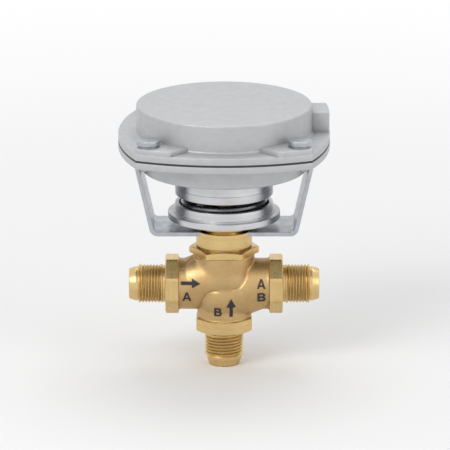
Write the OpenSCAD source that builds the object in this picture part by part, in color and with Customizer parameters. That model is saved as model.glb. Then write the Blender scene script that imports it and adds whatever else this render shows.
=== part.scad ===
// Three-way globe valve with a diaphragm actuator on a bent strap yoke.
// Millimetres. +Z is up along the stem, the run of the valve lies along X, and
// the front of the valve faces -Y. The origin is the middle of the bottom
// port's end face. Ports: A to the left (-X), AB to the right (+X), B below.

/* [Ports] */
// Diameter over the thread of each flare nipple
port_thread_d = 22.2; // [20:0.1:26]
// Length of the threaded part of a nipple
port_thread_len = 15; // [12:0.5:20]
// Diameter of the straight part of a nipple's nose
nose_d = 19.6; // [17.5:0.1:19.8]
// Diameter of the nose at its end face
nose_tip_d = 16.8; // [14.5:0.1:17.4]
// Length of the straight part of the nose
nose_flat = 2; // [1:0.1:3]
// Length of the whole nose
nose_len = 5.8; // [4:0.1:8]
// Flow bore of each port
port_bore_d = 12.7; // [9:0.1:13.4]
// Across flats of the octagon behind each nipple
oct_af = 31.8; // [30.5:0.1:36]
// Thickness of each octagon
oct_len = 7.6; // [5:0.1:11]
// Chamfer on the octagons' outer corners
oct_chamfer = 0.8; // [0.2:0.1:1.4]

/* [Body casting] */
// From the stem's axis to the inner face of the side octagons
run_half = 26; // [24:0.5:34]
// From the run's axis down to the bottom octagon
drop_len = 19.1; // [18:0.1:26]
// Diameter of the run's barrels
barrel_d = 29.3; // [27:0.1:31]
// Diameter of the two domes over the chambers
dome_d = 35; // [33:0.1:40]
// Diameter of the boss under the bonnet
boss_d = 34.6; // [33:0.1:38]
// Height of the upper dome's centre above the run's axis
upper_dome_rise = 5.5; // [3:0.1:7]
// Depth of the lower dome's centre below the run's axis
lower_dome_drop = 5; // [3:0.1:7]
// Diameter of the neck above the bottom octagon
neck_d = 30.4; // [28:0.1:31]
// Height of the body's top face above the run's axis
body_top_rise = 18.7; // [17.5:0.1:24]
// Radius of the fillets at the octagons
body_fillet = 1.6; // [0.6:0.1:2.4]

/* [Chambers and seats] */
// Diameter of the mixing chamber between the seats
mix_chamber_d = 18; // [17.2:0.1:19]
// Diameter of the chamber above the upper seat
upper_chamber_d = 24; // [22.4:0.1:25]
// Thickness of the partition that carries the upper seat
partition_t = 3.5; // [2.5:0.1:4.5]
// Height of the partition's top above the run's axis
partition_rise = 1; // [0:0.1:2]
// Height of the lower seat's pocket floor above the bottom octagon's lower face
lower_seat_rise = 7.2; // [6:0.1:9]
// Diameter of the slanting ducts between the ports and the chambers
duct_d = 10.8; // [8:0.1:11]
// Bore of both seat rings
seat_bore_d = 12.8; // [12.2:0.1:13.4]
// Outer diameter of the lower seat ring
lower_ring_d = 17.6; // [16.8:0.1:18]
// Thickness of the lower seat ring
lower_ring_t = 3.5; // [2.5:0.1:4.5]
// Thread diameter of the upper seat ring
upper_ring_d = 19; // [18.2:0.1:20]
// Flange diameter of the upper seat ring
upper_ring_flange_d = 22; // [21:0.1:22.2]
// Thickness of that flange
upper_ring_flange_t = 1.4; // [1:0.1:2]
// Height of the raised seat bead on both rings
bead_h = 0.8; // [0.4:0.1:1.2]
// Radial width of the seat bead
bead_w = 1; // [0.6:0.1:1.2]

/* [Plug and stem] */
// Travel of the stem
stroke = 4.8; // [3:0.1:5]
// Diameter of the stem
stem_d = 7.94; // [6.5:0.01:8.4]
// Diameter of the stem's lower end, which carries the plug
stem_tip_d = 5; // [4:0.1:5.6]
// Diameter of the plug and of its seal discs
plug_d = 15.8; // [15:0.1:16.4]
// Thickness of each seal disc
disc_t = 1.6; // [1:0.1:2]
// Diameter of the washers that hold the discs
disc_washer_d = 11.2; // [9:0.1:11.8]
// Thickness of those washers
disc_washer_t = 1.2; // [0.8:0.1:1.6]
// Across flats of the plug's nut
plug_nut_af = 8; // [7.5:0.1:9]
// Thickness of the plug's nut
plug_nut_t = 3; // [2:0.1:4]

/* [Bonnet and packing] */
// Diameter of the bonnet's thread in the body
bonnet_thread_d = 28; // [26.5:0.1:29]
// Length of that thread
bonnet_thread_len = 5; // [4:0.1:6]
// Thickness of the bonnet's gasket
gasket_t = 1; // [0.5:0.1:1.5]
// Across flats of the bonnet's hexagon
bonnet_hex_af = 34.9; // [33:0.1:38]
// Height of the hexagon
bonnet_hex_t = 4.2; // [3:0.1:7]
// Width of the groove above the hexagon
bonnet_groove_w = 0.9; // [0.5:0.1:2]
// Depth of that groove
bonnet_groove_d = 0.9; // [0.4:0.1:1.5]
// Diameter of the bonnet's shoulder below the yoke
bonnet_d = 32.1; // [31:0.1:34]
// Height of the bonnet's shoulder
bonnet_len = 9.1; // [7:0.1:14]
// Diameter of the threaded neck through the yoke
bonnet_neck_d = 26.5; // [25:0.1:27]
// Length of the neck above the shoulder
bonnet_neck_len = 15.2; // [14.6:0.1:18]
// Diameter of the packing's chamber
packing_d = 14; // [12.5:0.1:15]
// Length of the stem's guide below the packing
guide_len = 14.8; // [12:0.1:18]
// Height of one packing ring
packing_ring_t = 2.2; // [1.5:0.1:2.4]
// Number of packing rings
packing_count = 3; // [2:1:4]
// Thickness of the packing's support washer
packing_washer_t = 1; // [0.6:0.1:1.6]
// Height of the packing's follower
follower_t = 3.2; // [2:0.1:3.6]
// Thread diameter of the packing nut
packing_nut_d = 17; // [15.5:0.1:18.5]
// Height of the packing nut's hexagon
packing_nut_hex_t = 3.4; // [2.5:0.1:4]
// Across flats of the packing nut
packing_nut_af = 19; // [18.6:0.1:22]

/* [Yoke] */
// Thickness of the yoke's strap
yoke_t = 2.4; // [2:0.1:3]
// Width of the yoke's strap
yoke_w = 35; // [30:0.5:36]
// Half width of the yoke at its lower outer corner
yoke_base_half = 41.6; // [40:0.1:44]
// Half width of the yoke at its top
yoke_top_half = 52.6; // [52:0.1:54]
// Height of the yoke from its lower face to the housing's flange
yoke_h = 48.5; // [47.5:0.1:56]
// Inner radius of the yoke's bends
yoke_bend_r = 2.6; // [1.5:0.1:5]
// Thickness of the yoke's lock nut
yoke_nut_t = 2.6; // [2:0.1:3]
// Across flats of the yoke's lock nut
yoke_nut_af = 35; // [33:0.1:38]
// Spacing of the two screws in each leg
yoke_screw_gap = 16; // [12:0.5:20]
// Diameter of the yoke's screws
yoke_screw_d = 4; // [3:0.1:5]
// Distance of the yoke's screws below the housing's flange
yoke_screw_drop = 5.6; // [4.5:0.1:7]

/* [Spring and adjusting ring] */
// Gap between the yoke's plate and the adjusting ring
ring_lift = 4.8; // [4.7:0.1:6]
// Diameter of the adjusting ring's flange
ring_flange_d = 64; // [60:0.1:68]
// Thickness of the flange
ring_flange_t = 3.5; // [2.5:0.1:4.5]
// Diameter of the adjusting ring's wall and of the spring cup's rim
ring_d = 55.8; // [55:0.1:56.4]
// Height of the ring's wall above its flange
ring_wall_h = 5.3; // [3:0.1:5.4]
// Diameter inside the ring's wall
ring_inner_d = 51.2; // [50.6:0.1:52]
// Diameter of the ring's threaded hub
ring_hub_d = 32; // [30:0.1:34]
// Height of the hub above the flange
ring_hub_h = 2.4; // [1:0.1:4]
// Thickness of the spring's seat washer
seat_washer_t = 1; // [0.6:0.1:1.6]
// Outer diameter of the return spring
spring_d = 49.8; // [47:0.1:50.2]
// Diameter of the spring's wire
spring_wire_d = 3.8; // [3:0.1:4.4]
// Number of turns of the spring
spring_turns = 5.5; // [4:0.5:6.5]

/* [Piston] */
// Height of the spring cup's rim above the ring's wall, at rest
cup_gap = 5.2; // [5.1:0.1:8]
// Height of the rim's band
cup_band_h = 4.4; // [3:0.1:6]
// Step of the band over the cup's wall
cup_band_step = 0.3; // [0.1:0.05:0.6]
// Diameter inside the spring cup
cup_inner_d = 50.8; // [50.4:0.1:51.6]
// Thickness of the cup's top
cup_top_t = 3; // [2:0.1:4]
// Diameter of the diaphragm plate
plate_d = 76; // [70:0.5:77]
// Thickness of the diaphragm plate
plate_t = 3; // [2:0.1:4]
// Depth of the plate's top below the clamped diaphragm, at rest
plate_drop = 2.3; // [1:0.1:4]
// Depth of the diaphragm's roll below the plate's top
roll_drop = 4.5; // [3.5:0.1:5]
// Diameter of the clamping washer above the diaphragm
clamp_washer_d = 44; // [30:1:60]
// Thickness of that washer
clamp_washer_t = 2; // [1:0.1:3]
// Across flats of the stem's nuts
stem_nut_af = 12.7; // [12:0.1:14]
// Thickness of the stem's nuts
stem_nut_t = 4.8; // [4:0.1:6]

/* [Housing] */
// Half width of the square flange at the middle of its sides
flange_half = 60.2; // [59.6:0.1:63]
// Radius of the flange's bulging sides
flange_side_r = 121.8; // [110:0.1:150]
// Thickness of the lower housing's flange
lower_flange_t = 3.9; // [3:0.1:6]
// Thickness of the cover's flange
cover_flange_t = 4; // [3:0.1:6]
// Thickness of the diaphragm
diaphragm_t = 1; // [0.6:0.1:1.4]
// Diameter of the lower housing's pan
pan_d = 94.6; // [94:0.1:97]
// Depth of the pan below its flange
pan_h = 13.1; // [12:0.1:14]
// Wall of the pan
pan_wall = 3; // [2:0.1:3.4]
// Diameter of the top cover
cover_d = 100; // [99:0.1:104]
// Height of the cover above its flange
cover_h = 16.2; // [14:0.1:26]
// Wall of the cover
cover_wall = 3.5; // [2.5:0.1:4]
// Radius of the cover's top edge
cover_edge_r = 0.9; // [0.4:0.1:2]
// Size of the small slope at the foot of the cover's wall
cover_root = 0.8; // [0.3:0.1:1.5]
// Distance of the pads and of the air block inside the flange's edge
pad_inset = 0.3; // [0.1:0.1:1]
// Height of the corner pads above the cover's flange
pad_h = 2.8; // [2:0.1:5]
// Half angle of a pad on the cover's wall
pad_half_angle = 22.5; // [18:0.5:26]
// Angle of a pad's front edge
pad_edge_angle = 44; // [40:1:50]
// Distance of a cover screw outside the middle between the wall and the corner
cover_screw_out = 0.5; // [-0.5:0.1:1]
// Diameter of the cover screws
cover_screw_d = 6; // [4:0.1:6.4]
// Diameter of their heads
cover_head_d = 13.1; // [10:0.1:13.4]
// Height of their heads
cover_head_t = 3; // [2:0.1:4]
// Front face of the air block, in Y
air_block_y0 = -2; // [-4:0.1:0]
// Width of the air block
air_block_w = 22; // [18:0.1:26]
// Height of the air block
air_block_h = 11.4; // [10.6:0.1:13.8]
// Diameter of the tapped air hole
air_hole_d = 8.7; // [7:0.1:9]
// Depth of the tapped air hole from the flange's side
air_hole_len = 8.6; // [7:0.1:9]
// Diameter of the air passage into the cover
air_passage_d = 4; // [2:0.1:5]

/* [Fits] */
// Radial clearance of the stem in its guide
stem_fit = 0.06; // [0.03:0.01:0.1]
// Radial clearance of threads and screws
thread_fit = 0.05; // [0.03:0.01:0.1]
// Gap between a seal disc and its seat when it is closed
seat_gap = 0.05; // [0.02:0.01:0.2]
// Gap between pieces that turn or slide on each other
slide_gap = 0.1; // [0.05:0.01:0.2]

/* [Hidden] */

$fn = 96;
cut = 0.01;

// Heights along the stem's axis, from the bottom port up.
b_thread_z = nose_len;
b_oct_z = b_thread_z + port_thread_len;
b_oct_top = b_oct_z + oct_len;
run_z = b_oct_top + drop_len;
port_x = run_half + oct_len + port_thread_len + nose_len;
body_top = run_z + body_top_rise;

lower_pocket_z = b_oct_z + lower_seat_rise;
lower_ring_top = lower_pocket_z + lower_ring_t;
lower_bead_top = lower_ring_top + bead_h;
partition_top = run_z + partition_rise;
partition_z = partition_top - partition_t;
upper_bead_z = partition_z - bead_h;
gasket_z = body_top - bonnet_thread_len - gasket_t;

// The plug's stack hangs on the stem's shoulder. At rest its upper disc closes
// the upper seat, and at full travel its lower disc closes the lower seat.
disc_top = upper_bead_z - seat_gap;
stack_h = upper_bead_z - lower_bead_top - stroke - 2 * seat_gap;
plug_t = stack_h - 2 * disc_t;
plug_z = disc_top - disc_t - plug_t;
stem_shoulder_z = disc_top + disc_washer_t;
stack_z = disc_top - stack_h;
plug_nut_z = stack_z - disc_washer_t - plug_nut_t;
stem_z = plug_nut_z - 1;

bonnet_z = body_top - bonnet_thread_len;
groove_z = body_top + bonnet_hex_t;
shoulder_z = groove_z + bonnet_groove_w;
yoke_z = shoulder_z + bonnet_len;
neck_top = yoke_z + bonnet_neck_len;
packing_z = bonnet_z + guide_len;
packing_rings_z = packing_z + packing_washer_t;
follower_z = packing_rings_z + packing_count * packing_ring_t;
packing_nut_z = follower_z + follower_t;

plate_top_z = yoke_z + yoke_t;
ring_z = plate_top_z + ring_lift;
ring_floor_z = ring_z + ring_flange_t;
ring_top_z = ring_floor_z + ring_wall_h;
seat_z = ring_floor_z + slide_gap;
spring_z = seat_z + seat_washer_t;

flange_z = yoke_z + yoke_h;
pan_z = flange_z - pan_h;
diaphragm_z = flange_z + lower_flange_t;
cover_z = diaphragm_z + diaphragm_t;
cover_flange_top = cover_z + cover_flange_t;
cover_top = cover_flange_top + cover_h;
pad_top = cover_flange_top + pad_h;
cover_washer_t = 0.8;

// The plate hangs at a set depth below the clamped diaphragm, so the spring cup
// reaches from its rim up to the plate, whatever the yoke's height.
diaphragm_in_z = diaphragm_z - plate_drop;
plate_z = diaphragm_in_z - plate_t;
cup_z = ring_top_z + cup_gap;
cup_h = plate_z - cup_z;
cup_under_z = plate_z - cup_top_t;
clamp_z = diaphragm_in_z + diaphragm_t;
stem_nut_z = clamp_z + clamp_washer_t;
stem_top = stem_nut_z + stem_nut_t + 2;

cover_inner_d = cover_d - 2 * cover_wall;
pan_inner_d = pan_d - 2 * pan_wall;
flange_off = flange_side_r - flange_half;
// Distance of the flange's corners from the stem's axis, in X and in Y.
flange_corner = (sqrt(2 * flange_side_r * flange_side_r - flange_off * flange_off) - flange_off) / 2;
// The cover screws lie on the diagonals, between the cover's wall and the corners.
cover_screw_at = ((cover_d / 2 + flange_corner * sqrt(2)) / 2 + cover_screw_out) / sqrt(2);

yoke_lean = atan((yoke_top_half - yoke_base_half) / yoke_h);
air_y = air_block_y0 + air_block_w / 2;
air_z = cover_flange_top + air_block_h / 2;
air_face_x = sqrt(pow(flange_side_r - pad_inset, 2) - air_y * air_y) - flange_off;
air_passage_x = cover_inner_d / 2 - 5;

// Colours.
bronze = [0.79, 0.62, 0.36];
brass = [0.85, 0.70, 0.36];
steel = [0.72, 0.73, 0.75];
dark_steel = [0.45, 0.46, 0.48];
casting = [0.80, 0.81, 0.82];
rubber = [0.12, 0.12, 0.13];
ptfe = [0.93, 0.92, 0.88];

// A prism with flats to the front and back: n sides, across flats af, height h.
module prism(n, af, h, turn = 0) {
    rotate([0, 0, turn]) cylinder(r = af / 2 / cos(180 / n), h = h, $fn = n);
}

// A nut: a hexagon with its upper and lower corners turned away.
module hex_nut(af, t, bore) {
    r = af / 2 / cos(30);
    c = min((r - af / 2) * 0.58, t * 0.3);
    wide = af / 2 + (r - af / 2) * t / 2 / c;
    difference() {
        intersection() {
            translate([0, 0, -1]) prism(6, af, t + 2);
            rotate_extrude() polygon([
                [0, 0], [af / 2 - 0.1, 0], [wide, t / 2], [af / 2 - 0.1, t], [0, t]
            ]);
        }
        translate([0, 0, -cut]) cylinder(d = bore, h = t + 2 * cut);
    }
}

// A washer from the height z up.
module washer(outer, inner, t) {
    difference() {
        cylinder(d = outer, h = t);
        translate([0, 0, -cut]) cylinder(d = inner, h = t + 2 * cut);
    }
}

// One port along +Z: octagon, thread and flare nose, from the octagon's inner face.
module nipple() {
    oct_r = oct_af / 2 / cos(22.5);
    slope = 1.7;
    intersection() {
        translate([0, 0, -1]) prism(8, oct_af, oct_len + 2, 22.5);
        rotate_extrude() polygon([
            [0, 0], [oct_r + slope, 0], [oct_r + slope, oct_len - oct_chamfer - 1],
            [oct_r - slope * oct_chamfer, oct_len], [0, oct_len]
        ]);
    }
    rotate_extrude() polygon([
        [0, oct_len - 1], [port_thread_d / 2 - 0.6, oct_len - 1],
        [port_thread_d / 2 - 0.6, oct_len + 1.2], [port_thread_d / 2, oct_len + 1.8],
        [port_thread_d / 2, oct_len + port_thread_len - 0.6],
        [port_thread_d / 2 - 0.6, oct_len + port_thread_len],
        [nose_d / 2, oct_len + port_thread_len],
        [nose_d / 2, oct_len + port_thread_len + nose_flat],
        [nose_tip_d / 2 + 0.35, oct_len + port_thread_len + nose_len - 0.35],
        [nose_tip_d / 2 - 0.3, oct_len + port_thread_len + nose_len],
        [0, oct_len + port_thread_len + nose_len]
    ]);
}

// A barrel along +Z from the middle into an octagon, with a fillet at the octagon.
module barrel(d, len) {
    r_end = oct_af / 2 - 0.3;
    f = min(body_fillet, (r_end - d / 2) / 0.6);
    rotate_extrude() difference() {
        union() {
            square([d / 2, len + 0.5]);
            translate([0, len - 0.85 * f]) square([r_end, 0.85 * f + 0.5]);
        }
        translate([d / 2 + f, len - 0.85 * f]) circle(r = f);
        translate([d / 2 + f * 0.9, len - 0.85 * f - 1]) square([f, 1.2]);
    }
}

module to_left() { translate([0, 0, run_z]) rotate([0, -90, 0]) children(); }
module to_right() { translate([0, 0, run_z]) rotate([0, 90, 0]) children(); }
module to_bottom() { translate([0, 0, run_z]) rotate([180, 0, 0]) children(); }

// A lobe of the casting: from a barrel, at the distance x along the run, to a dome
// whose centre is at the height dz. side is -1 for the left and 1 for the right.
module lobe(side, x, dz) {
    len = sqrt(x * x + dz * dz);
    translate([side * x, 0, run_z])
        rotate([0, -side * (90 - atan(dz / x)), 0])
            cylinder(r1 = barrel_d / 2 - 0.1, r2 = dome_d / 2 - 0.15, h = len);
}

// A slanting duct from the run's bore to a chamber.
module duct(side, dz) {
    x0 = run_half;
    x1 = 8;
    len = sqrt((x0 - x1) * (x0 - x1) + dz * dz);
    translate([side * x0, 0, run_z])
        rotate([0, -side * (90 - atan(dz / (x0 - x1))), 0]) cylinder(d = duct_d, h = len);
    translate([side * x0, 0, run_z]) sphere(d = port_bore_d - 0.2);
}

module valve_body() {
    bore_len = port_x - run_half;
    color(bronze) difference() {
        union() {
            to_left() barrel(barrel_d, run_half);
            to_right() barrel(barrel_d, run_half);
            to_bottom() barrel(neck_d, drop_len);
            translate([0, 0, run_z + upper_dome_rise]) sphere(d = dome_d);
            translate([0, 0, run_z - lower_dome_drop]) sphere(d = dome_d);
            translate([0, 0, run_z + upper_dome_rise])
                cylinder(d = boss_d, h = body_top_rise - upper_dome_rise);
            lobe(-1, 0.78 * run_half, upper_dome_rise);
            lobe(1, 0.78 * run_half, -lower_dome_drop);
            to_left() translate([0, 0, run_half]) nipple();
            to_right() translate([0, 0, run_half]) nipple();
            to_bottom() translate([0, 0, drop_len]) nipple();
        }
        // Everything above the top face.
        translate([0, 0, body_top]) cylinder(d = 2 * dome_d, h = dome_d);
        // Port bores.
        to_left() translate([0, 0, run_half - 1]) cylinder(d = port_bore_d, h = bore_len + 2);
        to_right() translate([0, 0, run_half - 1]) cylinder(d = port_bore_d, h = bore_len + 2);
        translate([0, 0, -1]) cylinder(d = port_bore_d, h = lower_pocket_z + 2);
        // Ducts, chambers, seat pockets and the bonnet's thread.
        duct(-1, gasket_z - run_z - duct_d * 0.4);
        duct(1, -(run_z - lower_ring_top - duct_d * 0.62));
        translate([0, 0, lower_pocket_z])
            cylinder(d = lower_ring_d + 2 * thread_fit, h = lower_ring_t + cut);
        translate([0, 0, lower_ring_top])
            cylinder(d = mix_chamber_d, h = partition_z - lower_ring_top + cut);
        translate([0, 0, partition_z])
            cylinder(d = upper_ring_d + 2 * thread_fit, h = partition_t + cut);
        translate([0, 0, partition_top])
            cylinder(d = upper_chamber_d, h = gasket_z - partition_top + cut);
        translate([0, 0, gasket_z])
            cylinder(d = bonnet_thread_d + 2 * thread_fit, h = body_top - gasket_z + 1);
    }
}

module seat_bead(z) {
    translate([0, 0, z]) rotate_extrude() polygon([
        [seat_bore_d / 2 + 0.2, 0], [seat_bore_d / 2 + 0.2 + bead_w, 0],
        [seat_bore_d / 2 + 0.2 + bead_w, bead_h + 0.5], [seat_bore_d / 2 + 0.2, bead_h + 0.5]
    ]);
}

module lower_seat_ring() {
    color(brass) difference() {
        union() {
            translate([0, 0, lower_pocket_z]) cylinder(d = lower_ring_d, h = lower_ring_t);
            seat_bead(lower_ring_top - 0.5);
        }
        translate([0, 0, lower_pocket_z - cut]) cylinder(d = seat_bore_d, h = lower_ring_t + bead_h + 1);
    }
}

module upper_seat_ring() {
    color(brass) difference() {
        union() {
            translate([0, 0, partition_z]) cylinder(d = upper_ring_d, h = partition_t + cut);
            translate([0, 0, partition_top]) cylinder(d = upper_ring_flange_d, h = upper_ring_flange_t);
            seat_bead(upper_bead_z);
        }
        translate([0, 0, upper_bead_z - cut])
            cylinder(d = seat_bore_d, h = partition_t + upper_ring_flange_t + bead_h + 1);
    }
}

module bonnet_gasket() {
    color(ptfe) translate([0, 0, gasket_z])
        washer(bonnet_thread_d - 2 * thread_fit, upper_chamber_d - 2, gasket_t);
}

module bonnet() {
    hex_r = bonnet_hex_af / 2 / cos(30);
    color(bronze) difference() {
        union() {
            translate([0, 0, bonnet_z])
                cylinder(d = bonnet_thread_d - 2 * thread_fit, h = bonnet_thread_len + cut);
            translate([0, 0, body_top]) intersection() {
                translate([0, 0, -1]) prism(6, bonnet_hex_af, bonnet_hex_t + 2);
                rotate_extrude() polygon([
                    [0, 0], [hex_r + 2, 0], [hex_r + 2, bonnet_hex_t - 1.9],
                    [bonnet_hex_af / 2 - 0.1, bonnet_hex_t], [0, bonnet_hex_t]
                ]);
            }
            translate([0, 0, groove_z - cut])
                cylinder(d = bonnet_d - 2 * bonnet_groove_d, h = bonnet_groove_w + 2 * cut);
            translate([0, 0, shoulder_z]) cylinder(d = bonnet_d, h = bonnet_len);
            translate([0, 0, yoke_z - cut]) rotate_extrude() polygon([
                [0, 0], [bonnet_neck_d / 2, 0], [bonnet_neck_d / 2, bonnet_neck_len - 0.6],
                [bonnet_neck_d / 2 - 0.6, bonnet_neck_len + cut], [0, bonnet_neck_len + cut]
            ]);
        }
        translate([0, 0, bonnet_z - 1]) cylinder(d = stem_d + 2 * stem_fit, h = guide_len + 2);
        translate([0, 0, packing_z]) cylinder(d = packing_d, h = packing_nut_z - packing_z + cut);
        translate([0, 0, packing_nut_z])
            cylinder(d = packing_nut_d + 2 * thread_fit, h = neck_top - packing_nut_z + 1);
    }
}

module packing_washer() {
    color(brass) translate([0, 0, packing_z])
        washer(packing_d - 2 * thread_fit, stem_d + 2 * stem_fit, packing_washer_t);
}

// The packing's rings are chevrons, stacked with their lips down.
module packing_rings() {
    ri = stem_d / 2 + stem_fit;
    ro = packing_d / 2 - thread_fit;
    rm = (ri + ro) / 2;
    v = 0.7;
    color(ptfe) for (i = [0 : packing_count - 1])
        translate([0, 0, packing_rings_z + i * packing_ring_t]) rotate_extrude() polygon([
            [ri, 0], [rm, i == 0 ? 0 : v], [ro, 0],
            [ro, packing_ring_t], [rm, packing_ring_t + (i == packing_count - 1 ? 0 : v)],
            [ri, packing_ring_t]
        ]);
}

module packing_follower() {
    color(brass) translate([0, 0, follower_z])
        washer(packing_d - 2 * thread_fit, stem_d + 2 * stem_fit, follower_t);
}

module packing_nut() {
    color(brass) {
        translate([0, 0, packing_nut_z])
            washer(packing_nut_d, stem_d + 2 * stem_fit + 0.3, neck_top - packing_nut_z + cut);
        translate([0, 0, neck_top])
            hex_nut(packing_nut_af, packing_nut_hex_t, stem_d + 2 * stem_fit + 0.3);
    }
}

module stem() {
    color(steel) union() {
        translate([0, 0, stem_z]) rotate_extrude() polygon([
            [0, 0], [stem_tip_d / 2 - 0.5, 0], [stem_tip_d / 2, 0.5],
            [stem_tip_d / 2, stem_shoulder_z - stem_z], [stem_d / 2, stem_shoulder_z - stem_z],
            [stem_d / 2, stem_top - stem_z - 0.8], [stem_d / 2 - 0.8, stem_top - stem_z],
            [0, stem_top - stem_z]
        ]);
    }
}

module plug() {
    color(brass) translate([0, 0, plug_z]) washer(plug_d, stem_tip_d + 2 * thread_fit, plug_t);
}

module upper_disc() {
    color(rubber) translate([0, 0, disc_top - disc_t])
        washer(plug_d, stem_tip_d + 2 * thread_fit, disc_t);
}

module lower_disc() {
    color(rubber) translate([0, 0, stack_z])
        washer(plug_d, stem_tip_d + 2 * thread_fit, disc_t);
}

module upper_disc_washer() {
    color(steel) translate([0, 0, disc_top])
        washer(disc_washer_d, stem_tip_d + 2 * thread_fit, disc_washer_t);
}

module lower_disc_washer() {
    color(steel) translate([0, 0, stack_z - disc_washer_t])
        washer(disc_washer_d, stem_tip_d + 2 * thread_fit, disc_washer_t);
}

module plug_nut() {
    color(steel) translate([0, 0, plug_nut_z])
        hex_nut(plug_nut_af, plug_nut_t, stem_tip_d + 2 * thread_fit);
}

// Points of an arc round c from angle a to angle b, in n steps.
function arc(c, r, a, b, n) = [for (i = [0 : n])
    c + r * [cos(a + (b - a) * i / n), sin(a + (b - a) * i / n)]
];

// The yoke's strap seen from the front: the right half's outline, origin at the
// plate's lower face on the stem's axis.
function yoke_bend_c() = let (
    r = yoke_bend_r + yoke_t,
    s = r * (1 - sin(yoke_lean)) / cos(yoke_lean)
) [yoke_base_half + s * sin(yoke_lean) - r * cos(yoke_lean), r];

function yoke_leg_x(h, inset) = yoke_base_half + h * tan(yoke_lean) - inset / cos(yoke_lean);

function yoke_half() = concat(
    [[0, 0]],
    arc(yoke_bend_c(), yoke_bend_r + yoke_t, -90, -yoke_lean, 10),
    [[yoke_leg_x(yoke_h, 0), yoke_h], [yoke_leg_x(yoke_h, yoke_t), yoke_h]],
    arc(yoke_bend_c(), yoke_bend_r, -yoke_lean, -90, 10),
    [[0, yoke_t]]
);

// Places its children at the two screws of the right leg, with +Z along the
// screw, outwards, and the origin in the leg's outer face.
module at_leg_screws() {
    h = yoke_h - yoke_screw_drop;
    for (side = [0, 1], s = [-1, 1])
        mirror([side, 0, 0])
            translate([yoke_leg_x(h, 0), s * yoke_screw_gap / 2, yoke_z + h])
                rotate([0, 90 + yoke_lean, 0]) children();
}

module yoke() {
    slot_d = bonnet_neck_d + 0.5;
    color(steel) difference() {
        translate([0, yoke_w / 2, yoke_z]) rotate([90, 0, 0]) linear_extrude(yoke_w) polygon(
            concat(yoke_half(), [for (i = [len(yoke_half()) - 1 : -1 : 0])
                if (yoke_half()[i][0] > 0) [-yoke_half()[i][0], yoke_half()[i][1]]])
        );
        translate([0, 0, yoke_z - 1]) cylinder(d = slot_d, h = yoke_t + 2);
        translate([-slot_d / 2, -yoke_w, yoke_z - 1]) cube([slot_d, yoke_w, yoke_t + 2]);
        at_leg_screws() translate([0, 0, -yoke_t - 3])
            cylinder(d = yoke_screw_d + 2 * thread_fit, h = yoke_t + 6);
    }
}

module yoke_lock_nut() {
    color(brass) translate([0, 0, plate_top_z])
        hex_nut(yoke_nut_af, yoke_nut_t, bonnet_neck_d + 2 * thread_fit);
}

module yoke_screws() {
    head_t = 1.8;
    color(dark_steel) at_leg_screws() {
        translate([0, 0, -yoke_t - 3.2]) cylinder(d = yoke_screw_d, h = yoke_t + 3.2 + cut);
        cylinder(d = 1.9 * yoke_screw_d, h = head_t);
    }
}

module spring_seat() {
    color(steel) translate([0, 0, seat_z])
        washer(ring_inner_d - 4 * slide_gap, ring_hub_d + 4 * slide_gap, seat_washer_t);
}

// The adjusting ring is a shallow cup with a flange, which turns on the neck.
module adjusting_ring() {
    r0 = bonnet_neck_d / 2 + slide_gap;
    c = 0.5;
    color(casting) translate([0, 0, ring_z]) rotate_extrude() polygon([
        [r0, 0], [ring_flange_d / 2 - c, 0], [ring_flange_d / 2, c],
        [ring_flange_d / 2, ring_flange_t - c], [ring_flange_d / 2 - c, ring_flange_t],
        [ring_d / 2, ring_flange_t], [ring_d / 2, ring_flange_t + ring_wall_h - c],
        [ring_d / 2 - c, ring_flange_t + ring_wall_h], [ring_inner_d / 2, ring_flange_t + ring_wall_h],
        [ring_inner_d / 2, ring_flange_t], [ring_hub_d / 2, ring_flange_t],
        [ring_hub_d / 2, ring_flange_t + ring_hub_h], [r0, ring_flange_t + ring_hub_h]
    ]);
}

// The spring is a round wire swept along a helix whose end turns are closed.
// u runs from 0 to 1 along the wire.
spring_len = cup_under_z - spring_z - 2 * slide_gap;
spring_steps = 22;
spring_sides = 8;
spring_r = spring_wire_d / 2;
closed_rise = spring_wire_d * 1.04;
spring_rise = (spring_len - spring_wire_d - 2 * closed_rise) / (spring_turns - 2);
function spring_h(t) = t < 1 ? closed_rise * t
    : t > spring_turns - 1 ? spring_len - spring_wire_d - closed_rise * (spring_turns - t)
    : closed_rise + spring_rise * (t - 1);
function spring_ring(t) = [for (k = [0 : spring_sides - 1]) let (
    a = 360 * k / spring_sides,
    r = spring_d / 2 - spring_r + spring_r * cos(a),
    z = spring_h(t) + spring_r * (1 + sin(a))
) [r * cos(360 * t), r * sin(360 * t), z]];

module return_spring() {
    n = round(spring_turns * spring_steps);
    m = spring_sides;
    points = [for (i = [0 : n]) each spring_ring(spring_turns * i / n)];
    sides = [for (i = [0 : n - 1], k = [0 : m - 1]) let (k2 = (k + 1) % m)
        each [[i * m + k, i * m + k2, (i + 1) * m + k2], [i * m + k, (i + 1) * m + k2, (i + 1) * m + k]]];
    ends = concat(
        [for (k = [1 : m - 2]) [0, k + 1, k]],
        [for (k = [1 : m - 2]) [n * m, n * m + k, n * m + k + 1]]
    );
    color(dark_steel) translate([0, 0, spring_z + slide_gap])
        polyhedron(points = points, faces = concat(sides, ends), convexity = 10);
}

module spring_cup() {
    wall_r = ring_d / 2 - cup_band_step;
    e = 1.5;
    color(casting) translate([0, 0, cup_z]) rotate_extrude() polygon([
        [stem_d / 2 + thread_fit, cup_h - cup_top_t], [cup_inner_d / 2 - e, cup_h - cup_top_t],
        [cup_inner_d / 2, cup_h - cup_top_t - e], [cup_inner_d / 2, 0],
        [ring_d / 2 - 0.4, 0], [ring_d / 2, 0.4], [ring_d / 2, cup_band_h],
        [wall_r, cup_band_h + 0.2], [wall_r, cup_h - e], [wall_r - e, cup_h],
        [stem_d / 2 + thread_fit, cup_h]
    ]);
}

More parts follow.
